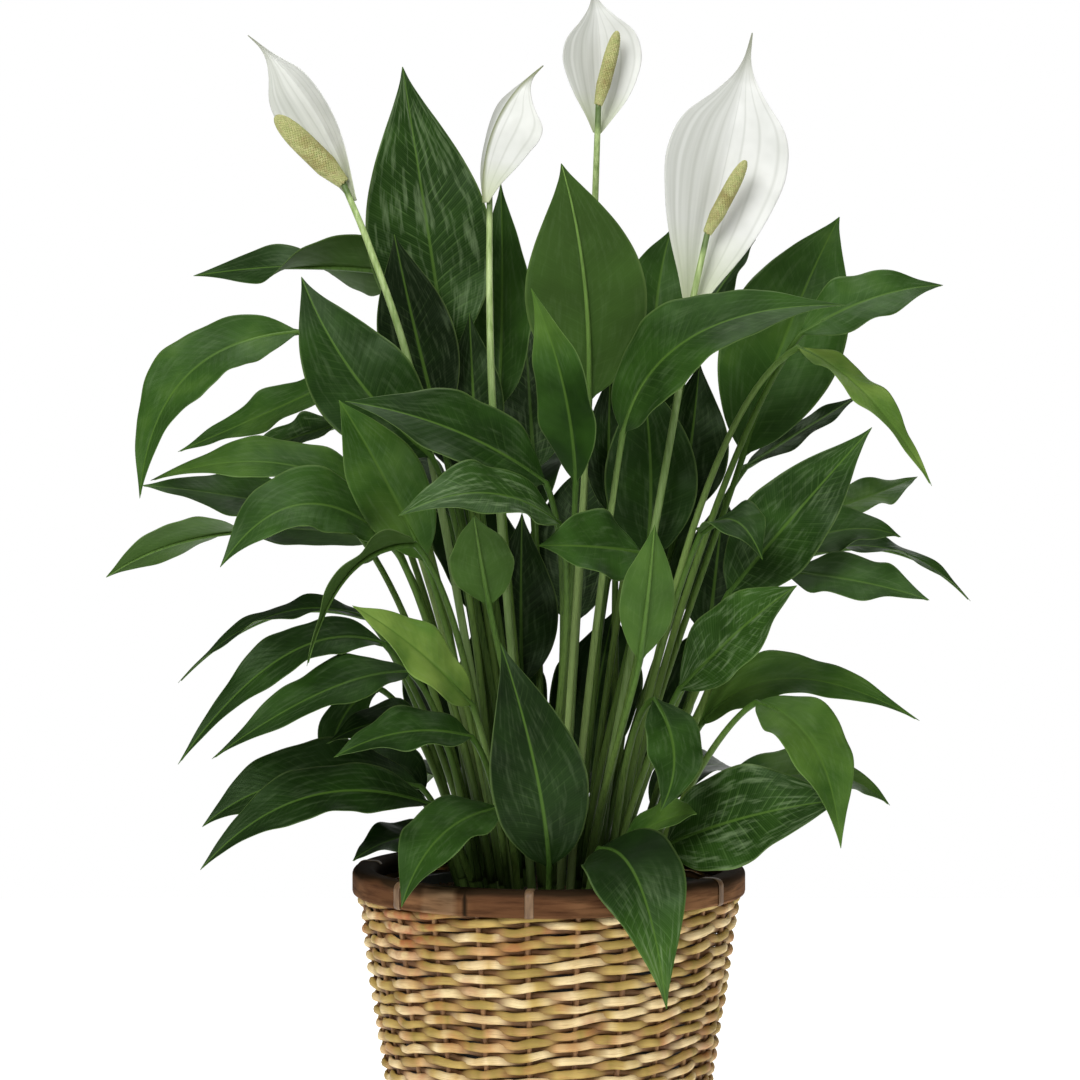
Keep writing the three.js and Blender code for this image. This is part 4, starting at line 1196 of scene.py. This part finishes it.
# Florets sit round the spike in spirals, a golden turn from one to the next.
def spikeTree(material):
    tree, sizes = newTree("spikeFlorets", spike)
    index = indexOf(tree)
    share = over(add(index, 0.5), sizes["Florets"])
    swell = maths("MINIMUM", add(spike["foot"], times(share, spike["widening"])), 1.0)
    closing = largest(over(minus(share, spike["blunt"]), 1 - spike["blunt"]), 0.0)
    blunt = maths("SQRT", minus(1.0, maths("POWER", closing, spike["roundness"])))
    radius = times(minus(sizes["Radius"], sizes["Sunk"]), swell, blunt)
    turn = times(index, math.pi * (3 - math.sqrt(5)))
    place = combine(times(radius, cosine(turn)), times(radius, sine(turn)), times(share, sizes["Length"]))
    placed = output(tree, "GeometryNodeSetPosition",
                    {"Geometry": heap(tree, sizes["Florets"]), "Position": place})
    knob = output(tree, "GeometryNodeMeshIcoSphere", {"Radius": 1.0, "Subdivisions": 1})
    copies = copyOnto(placed, knob, Scale=times(sizes["Floret"], remap(blunt, 0, 1, sizes["Smallest"], 1)))
    toned = store(copies, "tone", randomNumber(sizes["Seed"], ID=index), "INSTANCE")
    joined = addNode(tree, "GeometryNodeJoinGeometry", {0: store(toned, "reach", share, "INSTANCE")})
    feed(joined.inputs[0], sizes["Geometry"])
    return endTree(joined.outputs[0], material)


# The core under the florets is turned about Z, in millimetres. The finished spike is then laid
# along its own line.
def makeSpike(name, part, tree):
    foot, top = np.array(part["foot"], float), np.array(part["top"], float)
    length = np.linalg.norm(top - foot)
    share = np.linspace(0, 1, spike["rings"])
    closing = np.maximum((share - spike["blunt"]) / (1 - spike["blunt"]), 0)
    radii = part["radius"] * np.minimum(spike["foot"] + spike["widening"] * share, 1)
    radii = radii * np.sqrt(1 - closing ** spike["roundness"]) * spike["core"] + spike["coreTip"]
    core = np.column_stack((0 * share, 0 * share, spike["coreFoot"] + share * (length - spike["short"])))
    points, faces = loft(tubeRings(core, radii, spike["sides"]))
    mesh = bpy.data.meshes.new("spikeCore")
    mesh.from_pydata(points.tolist(), [], faces)
    count = int(spike["Florets"] * part["radius"] * length / spike["fullSize"])
    sizes = {**spike, "Florets": count, "Length": length - spike["short"], "Radius": part["radius"]}
    piece = growMesh(f"spike_{name}", tree, sizes, mesh)
    turn = Vector((0, 0, 1)).rotation_difference(Vector(top - foot)).to_matrix().to_4x4()
    piece.data.transform(Matrix.Translation(foot * mm) @ turn @ Matrix.Scale(mm, 4))
    finishPiece(piece, [f"bloom_{name}_spadix"])


def makeBlooms(stemSkin, spatheSkin, spikeSkin):
    tree = spikeTree(spikeSkin)
    for order, (name, part) in enumerate(blooms.items()):
        line = lineThrough([rootOf(part["stem"][0]), *part["stem"], part["foot"]], bloom["stemSteps"])
        makeStem(name, line, stemSkin)
        makeSpathe(name, part, line, spatheSkin, bloom["bloomPhase"] * order)
        makeSpike(name, part, tree)


# Blades: dark to bright by their tone, with sunken side veins, painted glints, a pale margin that is partly
# painted edge sheen, a pale midrib and a dull underside.
leafPaint = {
    "tones": [(0.0, paint(11, 23, 7)), (0.3, paint(27, 51, 13)), (0.5, paint(48, 79, 26)),
              (0.75, paint(86, 118, 46)), (1.0, paint(142, 166, 78))],
    "mottle": 0.11,  # how far the tone strays up and down across a blade
    "scales": {"mottle": 34, "wear": 75, "gloss": 130, "grain": 900},
    "vein": paint(104, 138, 74),
    "veinWidth": 0.13,
    "veinShare": (0.42, 0.08),  # how strongly a side vein shows near the midrib and at the edge
    "fineVeins": 4,  # from one side vein to the next
    "fineShare": 0.1,
    "glint": paint(132, 154, 112),
    "glintShare": 0.5,
    "under": paint(72, 98, 42),
    "underShare": 0.4,
    "underRough": 0.18,
    "marginAndSheen": paint(128, 156, 88),
    "marginAndSheenShare": 0.35,
    "midrib": paint(80, 112, 42),
    "midribShare": 0.65,
    "midribWidth": (1.5, 0.35),  # at the knee and at the tip
    "roughness": (0.37, 0.5),
    "tint": paint(196, 228, 178),  # of its gloss
}


def makeLeafPaint():
    look = leafPaint
    material, tree, shader = newMaterial("leafSkin", specular=0.2, tint=look["tint"])
    place = objectPlace(tree)
    vein, reach, veins = attribute(tree, "vein"), attribute(tree, "reach"), attribute(tree, "veins")
    across, under = attribute(tree, "across"), attribute(tree, "under")
    scales, stray = look["scales"], look["mottle"]
    mottle = remap(noise(place, scales["mottle"], 3), *noiseLevels, -stray, stray)
    base = ramp(add(attribute(tree, "tone"), mottle), look["tones"])

    offset = absolute(minus(maths("FRACT", add(vein, 0.5)), 0.5))
    line = remap(offset, 0.0, look["veinWidth"], 1, 0)
    fade = remap(absolute(across), 0.3, 0.98, *look["veinShare"])
    worn = times(fade, remap(noise(place, scales["wear"]), 0.4, 0.62, 0.1, 1))
    veined = blendColours(times(line, worn, veins), base, look["vein"])
    fine = sine(times(vein, tau * look["fineVeins"]))
    faint = times(remap(fine, 0.2, 1, 0, look["fineShare"]), veins)
    lined = blendColours(faint, veined, look["vein"])

    # painted glints run lengthwise as highlights, and the tone of the stalk gives each leaf glints of its
    # own
    spread = add(times(across, 9), times(reach, 2))
    streaks = noise(combine(spread, times(reach, 7), times(attribute(tree, "stalkTone"), 60)), 1.0, 3, 0.6)
    glints = times(remap(streaks, 0.5, 0.74, 0, look["glintShare"]), veins)
    glinting = blendColours(glints, lined, look["glint"])

    sided = blendColours(times(under, look["underShare"]), glinting, look["under"])
    # a pale margin along the edge, partly the leaf's own and partly painted edge sheen
    edge = remap(absolute(across), 0.95, 1, 0, look["marginAndSheenShare"])
    edged = blendColours(edge, sided, look["marginAndSheen"])
    ribWidth = remap(reach, 0, 1, *look["midribWidth"])
    ribShare = remap(over(attribute(tree, "rib"), ribWidth), 0.45, 1.1, look["midribShare"], 0)
    gloss = remap(noise(place, scales["gloss"]), *noiseLevels, *look["roughness"])
    feed(shader.inputs["Roughness"], add(gloss, times(under, look["underRough"])))
    grain = add(times(fine, 0.3), noise(place, scales["grain"]))
    finishPaint(shader, blendColours(ribShare, edged, look["midrib"]), grain, 0.15, 0.12)
    return material


# Stalk and midrib: half of the ramp runs up the stalk, and the other half along the midrib. The stalk's
# foot is painted darker, as shade among the leaves.
stalkPaint = {
    "stops": [(0.0, paint(70, 84, 42)), (0.1, paint(84, 106, 50)), (0.22, paint(112, 138, 66)),
              (0.5, paint(74, 108, 38)), (0.6, paint(84, 118, 46)), (1.0, paint(104, 138, 62))],
    # pale green of the brightest stalks, partly their own colour and partly painted highlight
    "paleAndHighlit": paint(168, 192, 122),
    "paleAndHighlitShare": 0.6,
    # dark streaks, also laid over the stalks of darker leaves as painted shade
    "streakAndShade": paint(34, 58, 18),
    "streakShare": 0.3,
    "darkest": 0.7,  # how much of the streaks' colour covers the darkest stalk
    "tint": paint(206, 228, 186),  # of its gloss
}


def makeStalkPaint():
    look = stalkPaint
    material, tree, shader = newMaterial("stalkSkin", roughness=0.42, specular=0.25, tint=look["tint"])
    tone, reach = attribute(tree, "stalkTone"), times(attribute(tree, "reach"), 0.5)
    lengthwise = stretched(tree, (1, 1, 0.06))
    onStalk = remap(reach, 0.42, 0.52, 1, 0.15)
    # the brightest stalks turn pale, partly as painted highlight
    paleAndHighlit = times(remap(tone, 0.7, 1.0, 0, look["paleAndHighlitShare"]), onStalk)
    bright = blendColours(paleAndHighlit, ramp(reach, look["stops"]), look["paleAndHighlit"])
    streaks = remap(noise(lengthwise, 700), 0.5, 0.75, 0, look["streakShare"])
    # stalks of darker leaves take painted shade
    dark = remap(tone, 0.0, 1.0, look["darkest"], 0.0)
    streaked = blendColours(add(streaks, dark), bright, look["streakAndShade"])
    finishPaint(shader, streaked, noise(lengthwise, 900), 0.2, 0.2)
    return material


strandPaint = {
    "tones": [(0.0, paint(238, 218, 172)), (0.18, paint(200, 168, 108)), (0.34, paint(230, 208, 158)),
              (0.5, paint(186, 158, 88)), (0.64, paint(148, 126, 58)), (0.76, paint(190, 148, 94)),
              (0.88, paint(228, 202, 150)), (1.0, paint(140, 88, 52))],
    "toneShare": 0.45,  # of a strand's colour is its own, and the rest changes along it
    "fibre": paint(136, 92, 52),
    "fibreShare": 0.55,
    "rust": paint(160, 90, 50),
    "rustShare": 0.6,
    "patch": (-0.083, -0.075, 0.186),  # the reddest of the strands lie round this place
    "patchReach": (0.02, 0.045),
    "patchShare": 0.85,
    # painted shade on a strand where it passes inside, behind a stake
    "inside": paint(98, 62, 34),
    "insideShare": 0.9,
}


def makeStrandPaint():
    look = strandPaint
    material, tree, shader = newMaterial("wovenStrand", roughness=0.62, specular=0.35)
    place, along, tone = objectPlace(tree), attribute(tree, "along"), attribute(tree, "tone")
    slow = noise(combine(times(along, 0.03), times(tone, 90), 0), 1.0)
    shade = add(times(tone, look["toneShare"]), remap(slow, *noiseLevels, 0, 1 - look["toneShare"]))
    fibres = noise(combine(times(along, 0.05), times(attribute(tree, "around"), 1.1), times(tone, 50)),
                   2.0, 3, 0.6)
    fibreShare = remap(fibres, 0.5, 0.72, 0, look["fibreShare"])
    streaked = blendColours(fibreShare, ramp(shade, look["tones"]), look["fibre"])
    away = addNode(tree, "ShaderNodeVectorMath", {0: place, 1: look["patch"]},
                   operation="DISTANCE").outputs["Value"]
    patch = times(remap(away, *look["patchReach"], look["patchShare"], 0),
                  remap(noise(place, 110), 0.4, 0.6))
    rust = largest(remap(noise(place, 38, 3), 0.55, 0.7, 0, look["rustShare"]), patch)
    darkened = blendColours(rust, streaked, look["rust"])
    # painted shade where the strand passes inside
    depth = remap(attribute(tree, "outside"), -0.5, 0.5, look["insideShare"], 0)
    finishPaint(shader, blendColours(depth, darkened, look["inside"]), fibres)
    return material


grainPaints = {
    "stakeWood": {"light": paint(168, 128, 82), "dark": paint(98, 64, 40), "stretch": (1, 1, 0.1),
                  "scale": 300, "roughness": 0.7, "relief": 0.4},
    "baseWood": {"light": paint(150, 112, 70), "dark": paint(92, 62, 38), "stretch": (0.12, 1, 1),
                 "scale": 260, "roughness": 0.7, "relief": 0.4},
    "rimCane": {"light": paint(128, 100, 70), "dark": paint(84, 60, 38), "stretch": (1, 1, 0.2),
                "scale": 500, "roughness": 0.55, "relief": 0.3},
}


# Wood and cane: two colours with streaks that run one way through the object.
def makeGrainPaint(name):
    look = grainPaints[name]
    material, tree, shader = newMaterial(name, look["roughness"])
    grain = noise(stretched(tree, look["stretch"]), look["scale"], 4, 0.6)
    colour = blendColours(remap(grain, *noiseLevels), look["light"], look["dark"])
    finishPaint(shader, colour, grain, 0.5, look["relief"])
    return material


rimPaint = {
    "light": paint(128, 92, 62),
    "middle": paint(92, 62, 40),
    "dark": paint(52, 32, 20),
    "darkShare": 0.8,
    # painted shade on the rim's top and inner side; the same dark colour marks the joint and the darker top
    # of the face
    "inside": paint(34, 26, 16),
    "insideShare": 0.92,
    "face": 113.4,  # the front of the band begins at this radius
    "back": 109.5,
    "darkened": (193.6, 197.4),  # the band darkens between these heights
    "darkTopShare": 0.9,
    "darkTopStray": 3,  # how far its edge goes up and down
    "joint": -114,  # degrees from +X to where the band's two ends meet
    "jointWidth": 1.1,
    "jointShare": 1.2,
    "bare": paint(176, 148, 114),
    "bareShare": 0.75,
    "bareTurn": -122.5,
    "bareWidth": (4.55, 6.5),  # degrees to each side, where it begins and where it has faded
}


# Bent wood whose grain runs round the rim. Its top and inner side are darker than its face, with painted
# shade, and the face darkens towards its top.
def makeRimPaint():
    look = rimPaint
    material, tree, shader = newMaterial("rimWood", roughness=0.7, specular=0.02)
    x, y, z = separate(objectPlace(tree))
    radius = maths("SQRT", add(times(x, x), times(y, y)))
    turn = maths("ARCTAN2", y, x)

    def turnsFrom(place):
        return absolute(minus(turn, math.radians(place)))

    grain = noise(combine(times(turn, 3.5), times(z, 330), times(radius, 330)), 1.0, 4, 0.6)
    patches = noise(combine(times(turn, 2.4), times(z, 40), 3), 1.0)
    base = blendColours(remap(patches, 0.42, 0.66), look["middle"], look["light"])
    bare = remap(turnsFrom(look["bareTurn"]), *np.radians(look["bareWidth"]), look["bareShare"], 0)
    bare = times(bare, remap(patches, 0.3, 0.62, 1, 0.25))
    worn = blendColours(bare, base, look["bare"])
    streaked = blendColours(remap(grain, 0.45, 0.7, 0, look["darkShare"]), worn, look["dark"])
    # the face darkens towards its top, along an uneven edge
    stray = look["darkTopStray"] * mm
    uneven = add(z, remap(patches, *noiseLevels, -stray, stray))
    low, high = look["darkened"]
    darkTop = minus(remap(uneven, low * mm, high * mm, 0, look["darkTopShare"]), bare)
    # painted shade on the top and the inner side, inward of the face
    inwardShade = remap(radius, look["face"] * mm, look["back"] * mm, 0, look["insideShare"])
    joint = remap(turnsFrom(look["joint"]), 0, math.radians(look["jointWidth"]), look["jointShare"], 0)
    dark = maths("MINIMUM", largest(darkTop, inwardShade, joint), 0.95)
    finishPaint(shader, blendColours(dark, streaked, look["inside"]), grain)
    return material


stemPaint = {
    "light": paint(188, 208, 144),
    "dark": paint(122, 150, 76),
    # painted shade low on the stem, down among the stalks
    "shaded": paint(84, 114, 50),  # down among the stalks
    "shadedShare": 0.7,
    # painted shade just under the spike
    "neckShade": paint(62, 88, 40),  # just under the spike
    "neckShadeShare": 0.75,
}


def makeStemPaint():
    look = stemPaint
    material, tree, shader = newMaterial("stemSkin", roughness=0.42, specular=0.35)
    reach = attribute(tree, "reach")
    grain = noise(stretched(tree, (1, 1, 0.06)), 600, 4, 0.6)
    base = blendColours(remap(grain, *noiseLevels), look["light"], look["dark"])
    # painted shade on the lower stem and just under the spike
    footToned = blendColours(remap(reach, 0.34, 0.58, look["shadedShare"], 0), base, look["shaded"])
    neckShade = remap(reach, 0.9, 0.94, 0, look["neckShadeShare"])
    finishPaint(shader, blendColours(neckShade, footToned, look["neckShade"]), grain, 0.5, 0.15)
    return material


spathePaint = {
    "white": paint(227, 228, 225),
    "grey": paint(164, 167, 158),
    # painted shade in the creases of the pleats
    "creaseShadeShare": 0.35,  # of grey in the pleats
    "patchShare": 0.25,  # in patches
    # painted shade on the greyer half of the hood
    "shadeSideShare": 0.6,  # and on the greyer half
    "green": paint(178, 190, 134),
    "footShare": 0.75,
    "tip": paint(134, 138, 116),
    "tipShare": 0.9,
    "vein": paint(112, 120, 74),
    "keelShare": 0.8,
}


def makeSpathePaint():
    look = spathePaint
    material, tree, shader = newMaterial("spatheSkin", specular=0.35)
    across, reach = attribute(tree, "across"), attribute(tree, "reach")
    # the pleats' creases are painted grey as shade
    side = maths("POWER", absolute(across), bloom["pleatSpread"])
    pleat = absolute(sine(times(side, math.pi * bloom["pleats"] / 2)))
    creaseShade = remap(pleat, 0.0, 0.4, look["creaseShadeShare"], 0)
    base = blendColours(creaseShade, look["white"], look["grey"])
    patches = remap(noise(objectPlace(tree), 60), 0.35, 0.7, 0, look["patchShare"])
    # painted shade greys one half of the hood, in streaks
    half = remap(times(across, attribute(tree, "shadeSide")), -0.05, 0.3, 0, look["shadeSideShare"])
    streaks = remap(noise(combine(times(across, 9), reach, 0), 1.0), 0.35, 0.65, 0.5, 1)
    greyedAndShaded = blendColours(largest(patches, times(half, streaks)), base, look["grey"])
    foot = remap(reach, 0.0, 0.3, look["footShare"], 0)
    footToned = blendColours(largest(foot, attribute(tree, "tone")), greyedAndShaded, look["green"])
    tipped = blendColours(remap(reach, 0.8, 0.96, 0, look["tipShare"]), footToned, look["tip"])
    keel = times(remap(attribute(tree, "rib"), 0.6, 2.4, look["keelShare"], 0), attribute(tree, "under"))
    finishPaint(shader, blendColours(keel, tipped, look["vein"]))
    return material


spikePaint = {
    "tones": [(0.0, paint(160, 166, 104)), (0.4, paint(174, 176, 114)), (0.8, paint(184, 184, 126)),
              (1.0, paint(166, 158, 104))],
    "mottle": 0.15,
    # painted shade on the core, where it shows between the florets
    "core": paint(138, 142, 80),
    "ripe": paint(134, 118, 58),  # about the middle of the spike
    "ripeShare": 0.55,
}


def makeSpikePaint():
    look = spikePaint
    material, tree, shader = newMaterial("spikeSkin", roughness=0.6)
    place, reach = objectPlace(tree), attribute(tree, "reach")
    grain = noise(place, 1600)
    mottle = remap(grain, *noiseLevels, -look["mottle"], look["mottle"])
    fresh = ramp(add(attribute(tree, "tone"), mottle), look["tones"])
    ripe = times(remap(absolute(minus(reach, 0.42)), 0.1, 0.34, look["ripeShare"], 0),
                 remap(noise(place, 160), 0.4, 0.6))
    aged = blendColours(ripe, fresh, look["ripe"])
    # the core under the florets is painted darker, as shade between them
    core = remap(reach, 0.0, 0.001, 1, 0)  # only the florets have a reach
    finishPaint(shader, blendColours(core, aged, look["core"]), grain, 0.4, 0.2)
    return material


soilPaints = {
    "pottingMix": (paint(74, 54, 38), paint(34, 24, 18)),
    "barkCrumbs": (paint(104, 76, 52), paint(44, 30, 22)),
}


def makeSoilPaint(name):
    material, tree, shader = newMaterial(name, roughness=0.92, specular=0.25)
    grain = noise(objectPlace(tree), 420, 4, 0.65)
    finishPaint(shader, blendColours(remap(grain, 0.35, 0.65), *soilPaints[name]), grain, 0.8, 0.8)
    return material


plasticPaint = {
    "colour": paint(30, 30, 31),
    "roughness": (0.42, 0.55),
}


def makePlastic():
    material, tree, shader = newMaterial("potPlastic")
    gloss = remap(noise(objectPlace(tree), 300), *noiseLevels, *plasticPaint["roughness"])
    feed(shader.inputs["Roughness"], gloss)
    finishPaint(shader, plasticPaint["colour"])
    return material


studio = {
    "camera": (-5, -1900, 442),
    "target": (-5, 0, 389),
    "lens": 109.2,
    "sensor": 36,
    "world": 0.1,  # how strongly the white surroundings light the plant
    "lights": [
        # name, place, size, power in watts
        ("keyLight", (-700, -1500, 1500), 1000, 30),
        ("fillLight", (1300, -1300, 900), 900, 5),
        ("topLight", (0, 100, 1700), 900, 8),
        ("backLight", (500, 1700, 1100), 1200, 6),
    ],
    "lightTarget": (0, 0, 350),
    "floor": paint(250, 250, 250),
    "floorReach": 1300,
    "glow": 0.9,
}


def aim(holder, place, target):
    holder.location = [length * mm for length in place]
    line = Vector(target) - Vector(place)
    holder.rotation_euler = line.to_track_quat("-Z", "Y").to_euler()


def makeStudio():
    scene = bpy.context.scene
    scene.view_settings.view_transform = "Standard"
    camera = addObject("photoCamera", bpy.data.cameras.new("photoCamera"))
    camera.data.lens = studio["lens"]
    camera.data.sensor_width = studio["sensor"]
    aim(camera, studio["camera"], studio["target"])
    scene.camera = camera
    for name, place, size, power in studio["lights"]:
        lamp = bpy.data.lights.new(name, "AREA")
        lamp.energy = power
        lamp.size = size * mm
        aim(addObject(name, lamp), place, studio["lightTarget"])

    # the camera sees the surroundings as pure white, and the plant is lit by them only a little
    world = bpy.data.worlds.new("studioWorld")
    world.use_nodes = True
    surroundings = world.node_tree.nodes["Background"]
    surroundings.inputs["Color"].default_value = (1, 1, 1, 1)
    seen = addNode(world.node_tree, "ShaderNodeLightPath").outputs["Is Camera Ray"]
    feed(surroundings.inputs["Strength"], remap(seen, 0, 1, studio["world"], 1))
    scene.world = world


def makeFloor():
    material, _, shader = newMaterial("studioFloor", roughness=0.8)
    finishPaint(shader, studio["floor"])
    shader.inputs["Emission Color"].default_value = (1, 1, 1, 1)
    shader.inputs["Emission Strength"].default_value = studio["glow"]
    reach = studio["floorReach"] * mm
    mesh = bpy.data.meshes.new("studioFloor")
    mesh.from_pydata([(-reach, -reach, 0), (reach, -reach, 0), (reach, reach, 0), (-reach, reach, 0)], [],
                     [(0, 1, 2, 3)])
    mesh.materials.append(material)
    floor = addObject("studioFloor", mesh)


strands = growMesh("wovenStrands", weaveTree(makeStrandPaint()), weave)
finishPiece(strands, ["basket"])
finishPiece(growMesh("uprightStakes", stakeTree(makeGrainPaint("stakeWood")), stakes), [])
makeBoard(makeGrainPaint("baseWood"))
print("basket woven:", len(strands.data.polygons), "faces")

makeRim(makeRimPaint())
makeBindings(makeGrainPaint("rimCane"))
print("rim bent and bound")

makePot(makePlastic())
soil = makeGround(makeSoilPaint("pottingMix"))
strewn = growMesh("soilCrumbs", crumbTree(makeSoilPaint("barkCrumbs")), crumbs, soil.data)
finishPiece(strewn, [])
print("pot filled:", len(strewn.data.polygons), "crumb faces")

print("shoots grown:", makeLeaves([makeLeafPaint(), makeStalkPaint()]))

makeBlooms(makeStemPaint(), makeSpathePaint(), makeSpikePaint())
print("blooms opened:", len(blooms))

makeStudio()
makeFloor()
print("studio set")
